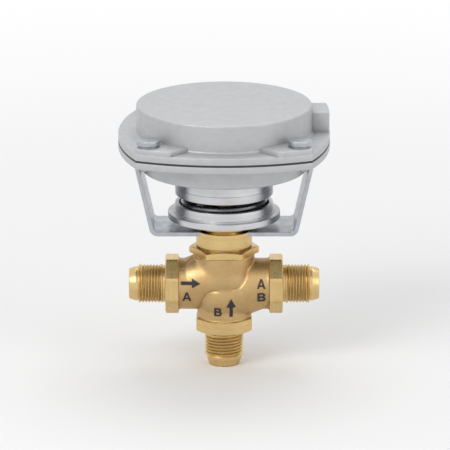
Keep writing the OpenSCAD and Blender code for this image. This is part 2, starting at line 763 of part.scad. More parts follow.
module stem_lock_nut() {
    color(steel) translate([0, 0, cup_under_z - stem_nut_t])
        hex_nut(stem_nut_af, stem_nut_t, stem_d + 2 * thread_fit);
}

module diaphragm_plate() {
    color(casting) translate([0, 0, plate_z]) rotate_extrude() polygon([
        [stem_d / 2 + thread_fit, 0], [plate_d / 2, 0], [plate_d / 2, plate_t - 1],
        [plate_d / 2 - 1, plate_t], [stem_d / 2 + thread_fit, plate_t]
    ]);
}

module clamp_washer() {
    color(steel) translate([0, 0, clamp_z])
        washer(clamp_washer_d, stem_d + 2 * thread_fit, clamp_washer_t);
}

module stem_top_nut() {
    color(steel) translate([0, 0, stem_nut_z])
        hex_nut(stem_nut_af, stem_nut_t, stem_d + 2 * thread_fit);
}

// The flange's outline: four bulging sides that meet in corners.
module flange_outline(inset = 0) {
    intersection() {
        translate([flange_off, 0]) circle(r = flange_side_r - inset, $fn = 720);
        translate([-flange_off, 0]) circle(r = flange_side_r - inset, $fn = 720);
        translate([0, flange_off]) circle(r = flange_side_r - inset, $fn = 720);
        translate([0, -flange_off]) circle(r = flange_side_r - inset, $fn = 720);
    }
}

module flange(z, t) {
    translate([0, 0, z]) linear_extrude(t) flange_outline();
}

module at_cover_screws() {
    for (sx = [-1, 1], sy = [-1, 1]) translate([sx * cover_screw_at, sy * cover_screw_at, 0]) children();
}

// The pan's side pads carry the yoke's legs: a block cut to the legs' lean.
module leg_pad() {
    h0 = yoke_h - 2 * yoke_screw_drop + 0.4;
    intersection() {
        translate([0, (yoke_w - 2) / 2, yoke_z]) rotate([90, 0, 0]) linear_extrude(yoke_w - 2) polygon([
            [pan_inner_d / 2 - 3, h0], [yoke_leg_x(h0, yoke_t), h0],
            [yoke_leg_x(yoke_h, yoke_t), yoke_h + cut], [pan_inner_d / 2 - 3, yoke_h + cut]
        ]);
        translate([0, 0, pan_z]) difference() {
            cylinder(d = 3 * pan_d, h = 2 * pan_h);
            translate([0, 0, -cut]) cylinder(d = pan_d - pan_wall, h = 2 * pan_h + 1);
        }
    }
}

module lower_housing() {
    color(casting) difference() {
        union() {
            flange(flange_z, lower_flange_t);
            translate([0, 0, pan_z]) rotate_extrude() {
                square([pan_d / 2 - 2, pan_h + cut]);
                translate([0, 2]) square([pan_d / 2, pan_h - 2 + cut]);
                translate([pan_d / 2 - 2, 2]) circle(r = 2);
            }
            leg_pad();
            mirror([1, 0, 0]) leg_pad();
        }
        translate([0, 0, pan_z + pan_wall]) cylinder(d = pan_inner_d, h = pan_h + lower_flange_t + 1);
        translate([0, 0, pan_z - 1]) cylinder(d = ring_d + 1.2, h = pan_wall + 2);
        at_cover_screws() translate([0, 0, flange_z - 1])
            cylinder(d = cover_screw_d + 2 * thread_fit, h = lower_flange_t + 2);
        at_leg_screws() translate([0, 0, -yoke_t - 3.4])
            cylinder(d = yoke_screw_d + 2 * thread_fit, h = yoke_t + 6);
    }
}

// The diaphragm is clamped between the flanges, and rolls between the pan's
// wall and the plate's edge.
module diaphragm() {
    ro = pan_inner_d / 2 - 0.3;
    ri = plate_d / 2 + 0.3;
    rm = (ro + ri) / 2;
    fold_z = diaphragm_in_z - roll_drop;
    color(rubber) difference() {
        union() {
            difference() {
                flange(diaphragm_z, diaphragm_t);
                translate([0, 0, diaphragm_z - cut])
                    cylinder(r = ro - diaphragm_t / 2, h = diaphragm_t + 2 * cut);
            }
            rotate_extrude() {
                translate([ro - diaphragm_t, fold_z]) square([diaphragm_t, cover_z - fold_z]);
                translate([ri, fold_z]) square([diaphragm_t, diaphragm_in_z + diaphragm_t - fold_z]);
                translate([stem_d / 2 + thread_fit, diaphragm_in_z])
                    square([ri + diaphragm_t / 2 - stem_d / 2 - thread_fit, diaphragm_t]);
                difference() {
                    translate([rm, fold_z]) circle(r = ro - rm);
                    translate([rm, fold_z]) circle(r = ro - rm - diaphragm_t);
                    translate([0, fold_z]) square([ro + diaphragm_t, ro - rm + diaphragm_t]);
                }
            }
        }
        at_cover_screws() translate([0, 0, diaphragm_z - 1])
            cylinder(d = cover_screw_d + 0.6, h = diaphragm_t + 2);
    }
}

// A corner pad in plan, for the corner at +X, -Y.
module pad_outline() {
    w = cover_d / 2 - cover_wall / 2;
    front = w * [cos(45 + pad_half_angle), -sin(45 + pad_half_angle)];
    polygon([
        w * [cos(45 - pad_half_angle), -sin(45 - pad_half_angle)],
        [flange_corner + 1, -flange_corner - 1],
        front + flange_corner * [cos(pad_edge_angle), -sin(pad_edge_angle)],
        front
    ]);
}

module top_cover() {
    color(casting) difference() {
        union() {
            flange(cover_z, cover_flange_t);
            translate([0, 0, cover_z]) rotate_extrude() {
                h = cover_top - cover_z;
                square([cover_d / 2 - cover_edge_r, h]);
                square([cover_d / 2, h - cover_edge_r]);
                translate([cover_d / 2 - cover_edge_r, h - cover_edge_r]) circle(r = cover_edge_r);
                polygon([
                    [cover_d / 2 - 2, cover_flange_t - 1], [cover_d / 2 + cover_root + 1, cover_flange_t - 1],
                    [cover_d / 2 - 1, cover_flange_t + cover_root + 1]
                ]);
            }
            for (sx = [0, 1], sy = [0, 1]) mirror([sx, 0, 0]) mirror([0, sy, 0])
                translate([0, 0, cover_flange_top - 0.5]) linear_extrude(pad_h + 0.5)
                    intersection() { pad_outline(); flange_outline(pad_inset); }
            translate([0, 0, cover_flange_top - 0.5]) linear_extrude(air_block_h + 0.5)
                intersection() {
                    translate([cover_inner_d / 2 + 1, air_block_y0]) square([flange_half, air_block_w]);
                    flange_outline(pad_inset);
                }
        }
        translate([0, 0, cover_z - 1])
            cylinder(d = cover_inner_d, h = cover_top - cover_z - cover_wall + 1);
        at_cover_screws() translate([0, 0, cover_z - 1])
            cylinder(d = cover_screw_d + 0.6, h = cover_flange_t + pad_h + 2);
        translate([air_face_x - air_hole_len, air_y, air_z]) rotate([0, 90, 0])
            cylinder(d = air_hole_d, h = air_hole_len + 5);
        translate([air_passage_x, air_y, air_z]) rotate([0, 90, 0])
            cylinder(d = air_passage_d, h = air_face_x - air_hole_len - air_passage_x + 1);
    }
}

module cover_washers() {
    color(steel) at_cover_screws() translate([0, 0, pad_top])
        washer(cover_head_d - 1.4, cover_screw_d + 0.4, cover_washer_t);
}

module cover_screws() {
    z = pad_top + cover_washer_t;
    color(steel) at_cover_screws() {
        translate([0, 0, flange_z + 0.4]) cylinder(d = cover_screw_d, h = z - flange_z - 0.4 + cut);
        translate([0, 0, z]) rotate_extrude() polygon([
            [0, 0], [cover_head_d / 2, 0], [cover_head_d / 2, cover_head_t - 0.5],
            [cover_head_d / 2 - 0.5, cover_head_t], [0, cover_head_t]
        ]);
    }
}

valve_body();
lower_seat_ring();
upper_seat_ring();
bonnet_gasket();
bonnet();
packing_washer();
packing_rings();
packing_follower();
packing_nut();
stem();
plug();
upper_disc();
lower_disc();
upper_disc_washer();
lower_disc_washer();
plug_nut();
yoke();
yoke_lock_nut();
yoke_screws();
spring_seat();
adjusting_ring();
return_spring();
spring_cup();
stem_lock_nut();
diaphragm_plate();
clamp_washer();
stem_top_nut();
lower_housing();
diaphragm();
top_cover();
cover_screws();
cover_washers();
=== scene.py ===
"""Looks of a three-way globe valve: flare ports, a strap yoke and a diaphragm actuator.

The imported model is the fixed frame. Every length is in metres, +Z is up along the stem, the
run of the valve lies along X and the front faces -Y.
"""

import logging
import math
from collections.abc import Iterable, Sequence
from dataclasses import dataclass, field
from enum import Enum
from typing import ClassVar

import bmesh
import bpy
import numpy as np
from mathutils import Matrix, Vector
from mathutils.bvhtree import BVHTree
from mathutils.geometry import tessellate_polygon


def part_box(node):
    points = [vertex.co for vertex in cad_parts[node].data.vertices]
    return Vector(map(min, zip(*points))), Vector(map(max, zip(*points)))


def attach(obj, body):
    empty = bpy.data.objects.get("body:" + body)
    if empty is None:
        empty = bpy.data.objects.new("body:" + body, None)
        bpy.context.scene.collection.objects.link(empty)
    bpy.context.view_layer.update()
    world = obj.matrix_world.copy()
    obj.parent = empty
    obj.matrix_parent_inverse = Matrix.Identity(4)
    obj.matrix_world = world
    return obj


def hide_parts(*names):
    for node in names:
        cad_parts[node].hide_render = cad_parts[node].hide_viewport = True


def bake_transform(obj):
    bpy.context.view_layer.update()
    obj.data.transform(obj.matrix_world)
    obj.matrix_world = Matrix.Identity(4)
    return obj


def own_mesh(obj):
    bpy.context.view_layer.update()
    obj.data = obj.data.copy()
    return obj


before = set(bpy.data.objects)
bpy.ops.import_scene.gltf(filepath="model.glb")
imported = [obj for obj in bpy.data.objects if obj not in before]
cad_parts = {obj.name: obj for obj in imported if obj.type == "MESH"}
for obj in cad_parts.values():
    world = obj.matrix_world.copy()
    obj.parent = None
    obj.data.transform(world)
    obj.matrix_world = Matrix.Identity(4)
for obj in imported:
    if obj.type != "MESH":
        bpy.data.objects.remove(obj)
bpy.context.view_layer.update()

LOG = logging.getLogger("globe_valve")
MM = 0.001
TAU = 2 * math.pi

# The height of the run's axis above the lowest point.
RUN_HEIGHT = 47.5 * MM

# The radius of the housing's four bulging sides.
FLANGE_SIDE = 121.8 * MM

# The yoke's legs: half their distance at the foot, and how far they lean outwards.
LEG_HALF = 41.6 * MM
LEG_LEAN = math.atan2(11.0, 48.5)

BMesh = bmesh.types.BMesh
Material = bpy.types.Material
Mesh = bpy.types.Mesh
Node = bpy.types.Node
Piece = bpy.types.Object
Socket = bpy.types.NodeSocket
Tree = bpy.types.NodeTree

Colour = tuple[float, float, float]
Outline = list[tuple[float, float]]
Ring = tuple[np.ndarray | float, np.ndarray | float]


class Axis(Enum):
    """The direction that a turned surface was turned about."""

    X = (0.0, math.pi / 2, 0.0)
    Z = (0.0, 0.0, 0.0)


class Grain(Enum):
    """How a surface was made, which sets its fine relief."""

    CAST = "cast_skin"
    TURNED = "turned_lines"
    BRUSHED = "brushed_lines"
    MOULDED = "moulded_skin"


class NodeGraph:
    """A small writer for shader node trees."""

    def __init__(self, tree: Tree) -> None:
        """Takes the tree and leaves it empty."""
        self.tree = tree
        tree.nodes.clear()

    def node(self, kind: str, **values: object) -> Node:
        """Adds a node.

        Args:
            kind: Blender's type of the node, without the ShaderNode in front.
            values: the node's own settings.

        Returns:
            The new node.
        """
        made = self.tree.nodes.new(f"ShaderNode{kind}")
        for name, value in values.items():
            setattr(made, name, value)
        return made

    def wire(self, value: object, socket: Socket) -> None:
        """Links an output to a socket, or sets the socket to a plain value."""
        if isinstance(value, Socket):
            self.tree.links.new(value, socket)
        else:
            socket.default_value = value

    def math(self, operation: str, *inputs: object, clamp: bool = False) -> Socket:
        """Adds a Math node.

        Args:
            operation: the node's operation.
            inputs: its values or links, in order.
            clamp: whether the result is kept within 0 and 1.

        Returns:
            The result's socket.
        """
        made = self.node("Math", operation=operation, use_clamp=clamp)
        for socket, value in zip(made.inputs, inputs):
            self.wire(value, socket)
        return made.outputs[0]

    def vector(self, operation: str, *inputs: object, output: int = 0) -> Socket:
        """Adds a Vector Math node.

        Args:
            operation: the node's operation.
            inputs: its values or links, in order.
            output: which of its outputs is wanted.

        Returns:
            That output's socket.
        """
        made = self.node("VectorMath", operation=operation)
        for socket, value in zip(made.inputs, inputs):
            self.wire(value, socket)
        return made.outputs[output]

    def spread(self, value: object, low: float, high: float) -> Socket:
        """Maps low to 0 and high to 1, smoothly, and holds it there.

        Args:
            value: the link to map.
            low: the value that gives 0.
            high: the value that gives 1.

        Returns:
            The mapped socket.
        """
        made = self.node("MapRange", interpolation_type="SMOOTHSTEP")
        self.wire(value, made.inputs["Value"])
        made.inputs["From Min"].default_value = low
        made.inputs["From Max"].default_value = high
        return made.outputs["Result"]

    def noise(self, vector: object, scale: object, detail: float, rough: float = 0.5) -> Socket:
        """Adds a noise texture.

        Args:
            vector: the point to read it at.
            scale: how many features a metre holds.
            detail: the number of finer layers.
            rough: how strong the finer layers are.

        Returns:
            The value's socket, around 0.5.
        """
        made = self.node("TexNoise")
        self.wire(vector, made.inputs["Vector"])
        self.wire(scale, made.inputs["Scale"])
        made.inputs["Detail"].default_value = detail
        made.inputs["Roughness"].default_value = rough
        return made.outputs["Fac"]

    def blend(self, factor: object, first: object, second: object) -> Socket:
        """Mixes two colours.

        Args:
            factor: 0 for the first colour, 1 for the second.
            first: a colour or a link.
            second: a colour or a link.

        Returns:
            The mixed colour's socket.
        """
        made = self.node("Mix", data_type="RGBA")
        self.wire(factor, made.inputs[0])
        for socket, value in ((made.inputs[6], first), (made.inputs[7], second)):
            self.wire((*value, 1.0) if isinstance(value, tuple) else value, socket)
        return made.outputs[2]


class Effects:
    """The shader node groups that the finishes share, each built once."""

    made: ClassVar[dict[str, Tree]] = {}

    @classmethod
    def group(cls, name: str) -> Tree:
        """The group of that name, built on its first use."""
        if name not in cls.made:
            cls.made[name] = getattr(cls, name)()
        return cls.made[name]

    @staticmethod
    def start(name: str, inputs: Sequence[tuple[str, str, float]], outputs: Sequence[str]) -> tuple:
        """Opens an empty group.

        Args:
            name: the group's name.
            inputs: name, kind of socket and usual value of each input.
            outputs: name of each output, all of them values.

        Returns:
            The graph, its input node and its output node.
        """
        tree = bpy.data.node_groups.new(name, "ShaderNodeTree")
        for label, kind, value in inputs:
            socket = tree.interface.new_socket(label, in_out="INPUT", socket_type=f"NodeSocket{kind}")
            if kind == "Float":
                socket.default_value = value
        for label in outputs:
            tree.interface.new_socket(label, in_out="OUTPUT", socket_type="NodeSocketFloat")
        graph = NodeGraph(tree)
        enter = tree.nodes.new("NodeGroupInput")
        leave = tree.nodes.new("NodeGroupOutput")
        return graph, enter.outputs, leave.inputs

    @classmethod
    def cast_skin(cls) -> Tree:
        """A sand-cast or die-cast skin: grain, shallow waves and a few pits."""
        graph, enter, leave = cls.start(
            "cast_skin", [("Vector", "Vector", 0), ("Grain", "Float", 0.0006)], ["Height", "Tone"]
        )
        fine = graph.math("DIVIDE", 1.0, enter["Grain"])
        grain = graph.noise(enter["Vector"], fine, 4.0, 0.6)
        waves = graph.noise(enter["Vector"], graph.math("MULTIPLY", fine, 0.09), 3.0)
        pits = graph.node("TexVoronoi", feature="SMOOTH_F1")
        graph.wire(enter["Vector"], pits.inputs["Vector"])
        graph.wire(graph.math("MULTIPLY", fine, 0.35), pits.inputs["Scale"])
        pit = graph.spread(pits.outputs["Distance"], 0.05, 0.22)
        bumps = graph.math(
            "ADD", graph.math("MULTIPLY", grain, 0.6), graph.math("MULTIPLY", waves, 1.2)
        )
        graph.wire(graph.math("ADD", bumps, graph.math("MULTIPLY", pit, 0.35)), leave["Height"])
        tone = graph.math(
            "ADD", graph.math("MULTIPLY", grain, 0.45), graph.math("MULTIPLY", waves, 0.55)
        )
        graph.wire(graph.spread(tone, 0.3, 0.7), leave["Tone"])
        return graph.tree

    @classmethod
    def turned_lines(cls) -> Tree:
        """The fine rings that a turning tool leaves around an axis along Z."""
        graph, enter, leave = cls.start(
            "turned_lines", [("Vector", "Vector", 0), ("Grain", "Float", 0.0002)], ["Height", "Tone"]
        )
        split = graph.node("SeparateXYZ")
        graph.wire(enter["Vector"], split.inputs[0])
        flat = graph.node("CombineXYZ")
        graph.wire(split.outputs[0], flat.inputs[0])
        graph.wire(split.outputs[1], flat.inputs[1])
        radius = graph.vector("LENGTH", flat.outputs[0], output=1)
        along = graph.node("CombineXYZ")
        graph.wire(radius, along.inputs[0])
        graph.wire(split.outputs[2], along.inputs[1])
        fine = graph.math("DIVIDE", 1.0, enter["Grain"])
        lines = graph.noise(along.outputs[0], fine, 3.0, 0.7)
        bands = graph.noise(along.outputs[0], graph.math("MULTIPLY", fine, 0.12), 2.0)
        smear = graph.noise(enter["Vector"], graph.math("MULTIPLY", fine, 0.03), 3.0)
        graph.wire(graph.math("ADD", lines, graph.math("MULTIPLY", bands, 0.5)), leave["Height"])
        tone = graph.math(
            "ADD", graph.math("MULTIPLY", bands, 0.5), graph.math("MULTIPLY", smear, 0.5)
        )
        graph.wire(graph.spread(tone, 0.35, 0.65), leave["Tone"])
        return graph.tree

    @classmethod
    def brushed_lines(cls) -> Tree:
        """Rolled and plated sheet: faint lines along X with a soft mottle."""
        graph, enter, leave = cls.start(
            "brushed_lines", [("Vector", "Vector", 0), ("Grain", "Float", 0.0003)], ["Height", "Tone"]
        )
        fine = graph.math("DIVIDE", 1.0, enter["Grain"])
        pulled = graph.vector("MULTIPLY", enter["Vector"], (0.04, 1.0, 0.12))
        lines = graph.noise(pulled, fine, 3.0, 0.65)
        mottle = graph.noise(enter["Vector"], graph.math("MULTIPLY", fine, 0.06), 4.0, 0.6)
        graph.wire(graph.math("ADD", lines, graph.math("MULTIPLY", mottle, 0.6)), leave["Height"])
        tone = graph.math(
            "ADD", graph.math("MULTIPLY", lines, 0.35), graph.math("MULTIPLY", mottle, 0.65)
        )
        graph.wire(graph.spread(tone, 0.35, 0.65), leave["Tone"])
        return graph.tree

    @classmethod
    def moulded_skin(cls) -> Tree:
        """Moulded rubber, packing or paint: a fine even stipple."""
        graph, enter, leave = cls.start(
            "moulded_skin", [("Vector", "Vector", 0), ("Grain", "Float", 0.0004)], ["Height", "Tone"]
        )
        fine = graph.math("DIVIDE", 1.0, enter["Grain"])
        stipple = graph.noise(enter["Vector"], fine, 2.0, 0.5)
        cloud = graph.noise(enter["Vector"], graph.math("MULTIPLY", fine, 0.08), 3.0)
        graph.wire(stipple, leave["Height"])
        graph.wire(graph.spread(cloud, 0.35, 0.65), leave["Tone"])
        return graph.tree

    @classmethod
    def worn_edges(cls) -> Tree:
        """A mask of the edges that handling has rubbed bright."""
        graph, enter, leave = cls.start(
            "worn_edges",
            [("Vector", "Vector", 0), ("Width", "Float", 0.0005), ("Amount", "Float", 0.5)],
            ["Mask"],
        )
        soft = graph.node("Bevel", samples=4)
        graph.wire(enter["Width"], soft.inputs["Radius"])
        geometry = graph.node("NewGeometry")
        turn = graph.vector("DOT_PRODUCT", soft.outputs[0], geometry.outputs["Normal"], output=1)
        edge = graph.spread(graph.math("SUBTRACT", 1.0, turn), 0.01, 0.12)
        patchy = graph.spread(graph.noise(enter["Vector"], 420.0, 3.0), 0.3, 0.75)
        rubbed = graph.math("MULTIPLY", edge, patchy)
        graph.wire(graph.math("MULTIPLY", rubbed, enter["Amount"], clamp=True), leave["Mask"])
        return graph.tree

    @classmethod
    def dust_and_painted_shade(cls) -> Tree:
        """A mask of the corners and creases, found by ambient occlusion: patchy dust and tarnish, and
        painted shade where light is blocked.
        """
        graph, enter, leave = cls.start(
            "dust_and_painted_shade",
            [("Vector", "Vector", 0), ("Reach", "Float", 0.003), ("Amount", "Float", 0.5)],
            ["Mask"],
        )
        # Ambient occlusion: this mask paints shade where nearby surfaces block the light.
        shade = graph.node("AmbientOcclusion", samples=6)
        graph.wire(enter["Reach"], shade.inputs["Distance"])
        deep = graph.spread(graph.math("SUBTRACT", 1.0, shade.outputs["AO"]), 0.25, 0.85)
        patchy = graph.spread(graph.noise(enter["Vector"], 260.0, 4.0, 0.6), 0.15, 0.7)
        held = graph.math("MULTIPLY", deep, patchy)
        graph.wire(graph.math("MULTIPLY", held, enter["Amount"], clamp=True), leave["Mask"])
        return graph.tree


@dataclass(frozen=True)
class Finish:
    """One surface finish of the valve, and the values that its material is built from."""

    name: str
    slot: str
    base: Colour
    shade: Colour
    bright: Colour
    grain: Grain
    grain_size: float
    grain_depth: float
    metallic: float = 1.0
    rough_low: float = 0.3
    rough_high: float = 0.45
    wear: float = 0.5
    # Strength and reach of the painted shade and dust in occluded corners.
    shade_and_dust: float = 0.4
    shade_and_dust_reach: float = 0.003
    coat: float = 0.0
    built: ClassVar[dict[str, Material]] = {}

    def material(self, axis: Axis = Axis.Z, centre: Colour = (0.0, 0.0, 0.0)) -> Material:
        """Builds the material, or gives the one that is already built.

        Args:
            axis: the axis that a turned surface was turned about.
            centre: a point on that axis.

        Returns:
            The material.
        """
        label = self.name if axis is Axis.Z else f"{self.name}_{axis.name.lower()}"
        if label in self.built:
            return self.built[label]
        made = self.built[label] = bpy.data.materials.new(label)
        made.use_nodes = True
        made.diffuse_color = (*self.base, 1.0)
        graph = NodeGraph(made.node_tree)
        place = graph.node("Mapping", vector_type="TEXTURE")
        graph.wire(graph.node("TexCoord").outputs["Object"], place.inputs["Vector"])
        place.inputs["Location"].default_value = centre
        place.inputs["Rotation"].default_value = axis.value
        point = place.outputs[0]

        skin = self.effect(graph, self.grain.value, point, Grain=self.grain_size)
        edges = self.effect(graph, "worn_edges", point, Amount=self.wear)
        # Painted shade and dust: occluded corners and creases are darkened and made rougher.
        shade_and_dust = self.effect(graph, "dust_and_painted_shade", point, Reach=self.shade_and_dust_reach, Amount=self.shade_and_dust)

        body = graph.blend(graph.math("MULTIPLY", skin["Tone"], 0.55), self.base, self.shade)
        rubbed = graph.blend(edges["Mask"], body, self.bright)
        # The painted shade's colour: a dark tone of the shade colour, laid over the occluded corners.
        shaded_dust_colour = tuple(0.35 * part for part in self.shade)
        colour = graph.blend(shade_and_dust["Mask"], rubbed, shaded_dust_colour)
        span = self.rough_high - self.rough_low
        rough = graph.math("MULTIPLY_ADD", skin["Tone"], span, self.rough_low)
        rough = graph.math("ADD", rough, graph.math("MULTIPLY", shade_and_dust["Mask"], 0.25), clamp=True)

        bump = graph.node("Bump")
        bump.inputs["Strength"].default_value = 1.0
        bump.inputs["Distance"].default_value = self.grain_depth
        graph.wire(skin["Height"], bump.inputs["Height"])

        surface = graph.node("BsdfPrincipled")
        graph.wire(colour, surface.inputs["Base Color"])
        graph.wire(rough, surface.inputs["Roughness"])
        graph.wire(bump.outputs[0], surface.inputs["Normal"])
        surface.inputs["Metallic"].default_value = self.metallic
        surface.inputs["Coat Weight"].default_value = self.coat
        out = made.node_tree.nodes.new("ShaderNodeOutputMaterial")
        graph.wire(surface.outputs[0], out.inputs["Surface"])
        return made

    @staticmethod
    def effect(
        graph: NodeGraph, name: str, point: object, **values: float
    ) -> bpy.types.bpy_prop_collection:
        """Places a shared effect.

        Args:
            graph: the material's graph.
            name: the effect's group.
            point: the link to the point that it is read at.
            values: its other inputs.

        Returns:
            The effect's outputs.
        """
        made = graph.node("Group", node_tree=Effects.group(name))
        graph.wire(point, made.inputs["Vector"])
        for label, value in values.items():
            made.inputs[label].default_value = value
        return made.outputs


CAST_BRONZE = Finish(
    "cast_bronze", "bronze", (0.58, 0.40, 0.19), (0.43, 0.28, 0.125), (0.78, 0.60, 0.33),
    Grain.CAST, grain_size=0.0006, grain_depth=0.00008, rough_low=0.38, rough_high=0.55,
    wear=0.7, shade_and_dust=0.8,
)
TURNED_BRASS = Finish(
    "turned_brass", "brass", (0.70, 0.51, 0.23), (0.60, 0.42, 0.18), (0.88, 0.72, 0.42),
    Grain.TURNED, grain_size=0.00022, grain_depth=0.000005, rough_low=0.22, rough_high=0.34,
    wear=0.6, shade_and_dust=0.8, shade_and_dust_reach=0.0015,
)
DIE_CAST = Finish(
    "die_cast_aluminium", "die_cast", (0.50, 0.51, 0.52), (0.43, 0.44, 0.45), (0.70, 0.71, 0.72),
    Grain.CAST, grain_size=0.0004, grain_depth=0.000016, metallic=0.45, rough_low=0.42,
    rough_high=0.56, wear=0.75, shade_and_dust=0.8, shade_and_dust_reach=0.004,
)
TURNED_ALUMINIUM = Finish(
    "bright_turned_aluminium", "turned_aluminium", (0.64, 0.645, 0.66), (0.52, 0.525, 0.54),
    (0.82, 0.82, 0.83), Grain.TURNED, grain_size=0.0003, grain_depth=0.00001, metallic=0.9,
    rough_low=0.28, rough_high=0.42, wear=0.6, shade_and_dust=0.85,
)
ZINC_PLATE = Finish(
    "zinc_plate", "zinc_steel", (0.47, 0.49, 0.53), (0.37, 0.385, 0.40), (0.66, 0.68, 0.72),
    Grain.BRUSHED, grain_size=0.0003, grain_depth=0.000006, metallic=0.9, rough_low=0.26,
    rough_high=0.42, wear=0.6, shade_and_dust=0.7,
)
SPRING_STEEL = Finish(
    "oiled_spring_steel", "spring_steel", (0.16, 0.165, 0.175), (0.10, 0.10, 0.11),
    (0.45, 0.45, 0.46), Grain.BRUSHED, grain_size=0.0005, grain_depth=0.00001, rough_low=0.22,
    rough_high=0.4, wear=0.4, shade_and_dust=0.5, coat=0.3,
)
GROUND_STEEL = Finish(
    "ground_stainless", "stainless", (0.62, 0.62, 0.62), (0.50, 0.50, 0.51), (0.80, 0.80, 0.80),
    Grain.TURNED, grain_size=0.00012, grain_depth=0.000005, rough_low=0.14, rough_high=0.24,
    wear=0.4,
)
BLACK_RUBBER = Finish(
    "moulded_black_rubber", "black_rubber", (0.028, 0.028, 0.03), (0.05, 0.05, 0.05),
    (0.09, 0.09, 0.09), Grain.MOULDED, grain_size=0.0005, grain_depth=0.00003, metallic=0.0,
    rough_low=0.55, rough_high=0.75, wear=0.3,
)
WHITE_PACKING = Finish(
    "pressed_white_packing", "white_packing", (0.80, 0.79, 0.74), (0.70, 0.68, 0.62),
    (0.9, 0.89, 0.85), Grain.MOULDED, grain_size=0.0006, grain_depth=0.00003, metallic=0.0,
    rough_low=0.45, rough_high=0.6, wear=0.1,
)
MARK_PAINT = Finish(
    "mark_paint", "black_rubber", (0.012, 0.012, 0.013), (0.03, 0.03, 0.03), (0.10, 0.08, 0.05),
    Grain.MOULDED, grain_size=0.0003, grain_depth=0.00001, metallic=0.0, rough_low=0.38,
    rough_high=0.5, wear=0.25, shade_and_dust=0.0,
)


def rounded(outline: Outline, radius: float, steps: int = 3) -> Outline:
    """Rounds the corners of a closed outline.

    Args:
        outline: its corners.
        radius: the radius wanted, less where an edge is too short for it.
        steps: the number of chords on each round.

    Returns:
        The new outline.
    """
    points = [Vector(point) for point in outline]
    made: Outline = []
    for i, corner in enumerate(points):
        before, after = points[i - 1] - corner, points[(i + 1) % len(points)] - corner
        half = before.angle(after) / 2
        if half > math.radians(86) or abs(corner.x) < 1e-9:
            made.append(tuple(corner))
            continue
        cut = min(radius / math.tan(half), 0.42 * before.length, 0.42 * after.length)
        start, end = corner + before.normalized() * cut, corner + after.normalized() * cut
        for k in range(steps + 1):
            t = k / steps
            made.append(tuple((1 - t) ** 2 * start + 2 * t * (1 - t) * corner + t * t * end))
    return made


def polygon_radius(angles: np.ndarray, sides: int, across: float, sharp: float = 90.0) -> np.ndarray:
    """Radius of a regular polygon with slightly rounded corners and a flat facing -Y.

    Args:
        angles: the directions to give it for.
        sides: the number of its sides.
        across: its size across flats.
        sharp: how sharp its corners are.

    Returns:
        The radius in each direction.
    """
    total = np.zeros_like(angles)
    for side in range(sides):
        facing = np.cos(angles - TAU * side / sides - math.pi / 2)
        total += np.maximum(facing, 0.0) ** sharp
    return across / 2 * total ** (-1 / sharp)


@dataclass(frozen=True)
class Thread:
    """A vee thread that runs out at both of its ends, around +Z."""

    crest: float
    root: float
    pitch: float
    start: float
    end: float
    section: tuple = ((0.0, 1.0), (0.07, 1.0), (0.42, 0.0), (0.58, 0.0), (0.93, 1.0), (1.0, 1.0))
    run_out: float = 0.7

    def strip(self, count: int) -> tuple[np.ndarray, list[Sequence[int]]]:
        """The thread's surface, whose end rings have the crest's radius.

        Args:
            count: the number of points round a turn.

        Returns:
            The points and the faces.
        """
        total = math.ceil(((self.end - self.start) / self.pitch + 2) * count)
        steps = np.arange(total + 1)
        along, depth = np.array(self.section).T
        heights = self.start + self.pitch * (steps[:, None] / count - 1 + along[None, :])
        room = np.minimum(heights - self.start, self.end - heights) / (self.run_out * self.pitch)
        radius = self.crest - (self.crest - self.root) * depth[None, :] * np.clip(room, 0, 1)
        angles = (steps % count * TAU / count)[:, None]
        heights = np.clip(heights, self.start, self.end)
        points = np.stack([radius * np.cos(angles), radius * np.sin(angles), heights], 2)
        wide = len(along)
        faces = [(i * wide + k, (i + 1) * wide + k, (i + 1) * wide + k + 1, i * wide + k + 1)
                 for i in range(total) for k in range(wide - 1)]
        return points.reshape(-1, 3), faces


def new_piece(name: str, mesh: Mesh, material: Material, crease: float = 38.0) -> Piece:
    """Puts a mesh in the scene, smooth but for its sharp edges.

    Args:
        name: the piece's name.
        mesh: its mesh, in the frame's own axes.
        material: its material.
        crease: the angle in degrees above which an edge stays sharp.

    Returns:
        The piece.
    """
    mesh.name = name
    mesh.materials.clear()
    mesh.materials.append(material)
    mesh.shade_smooth()
    mesh.set_sharp_from_angle(angle=math.radians(crease))
    piece = bpy.data.objects.new(name, mesh)
    bpy.context.scene.collection.objects.link(piece)
    return piece


def lofted(rings: Sequence[Ring | Thread], count: int, place: Matrix | None = None) -> Mesh:
    """Skins rings around +Z into a closed tube, the last joined to the first.

    Args:
        rings: radius and height of each ring, plain or for each of its points, and the threads
            that join the ring before them to the ring after.
        count: the number of points round a ring.
        place: where the finished mesh goes.

    Returns:
        The mesh.
    """
    angles = np.arange(count) * TAU / count
    points, faces, starts = [], [], []
    made, before = 0, None
    for ring in rings:
        if isinstance(ring, Thread):
            spots, skin = ring.strip(count)
            faces += [tuple(made + corner for corner in face) for face in skin]
            before = None
        else:
            across = np.broadcast_to(ring[0], count)
            height = np.broadcast_to(ring[1], count)
            spots = np.stack([across * np.cos(angles), across * np.sin(angles), height], 1)
            if before is not None:
                faces += between(before, made, count)
            before = made
            starts.append(made)
        points.append(spots)
        made += len(spots)
    faces += between(starts[-1], starts[0], count)
    return meshed(np.concatenate(points), faces, place)


def between(first: int, second: int, count: int) -> list[Sequence[int]]:
    """The faces between two rings that start at these points."""
    return [(first + k, first + (k + 1) % count, second + (k + 1) % count, second + k)
            for k in range(count)]


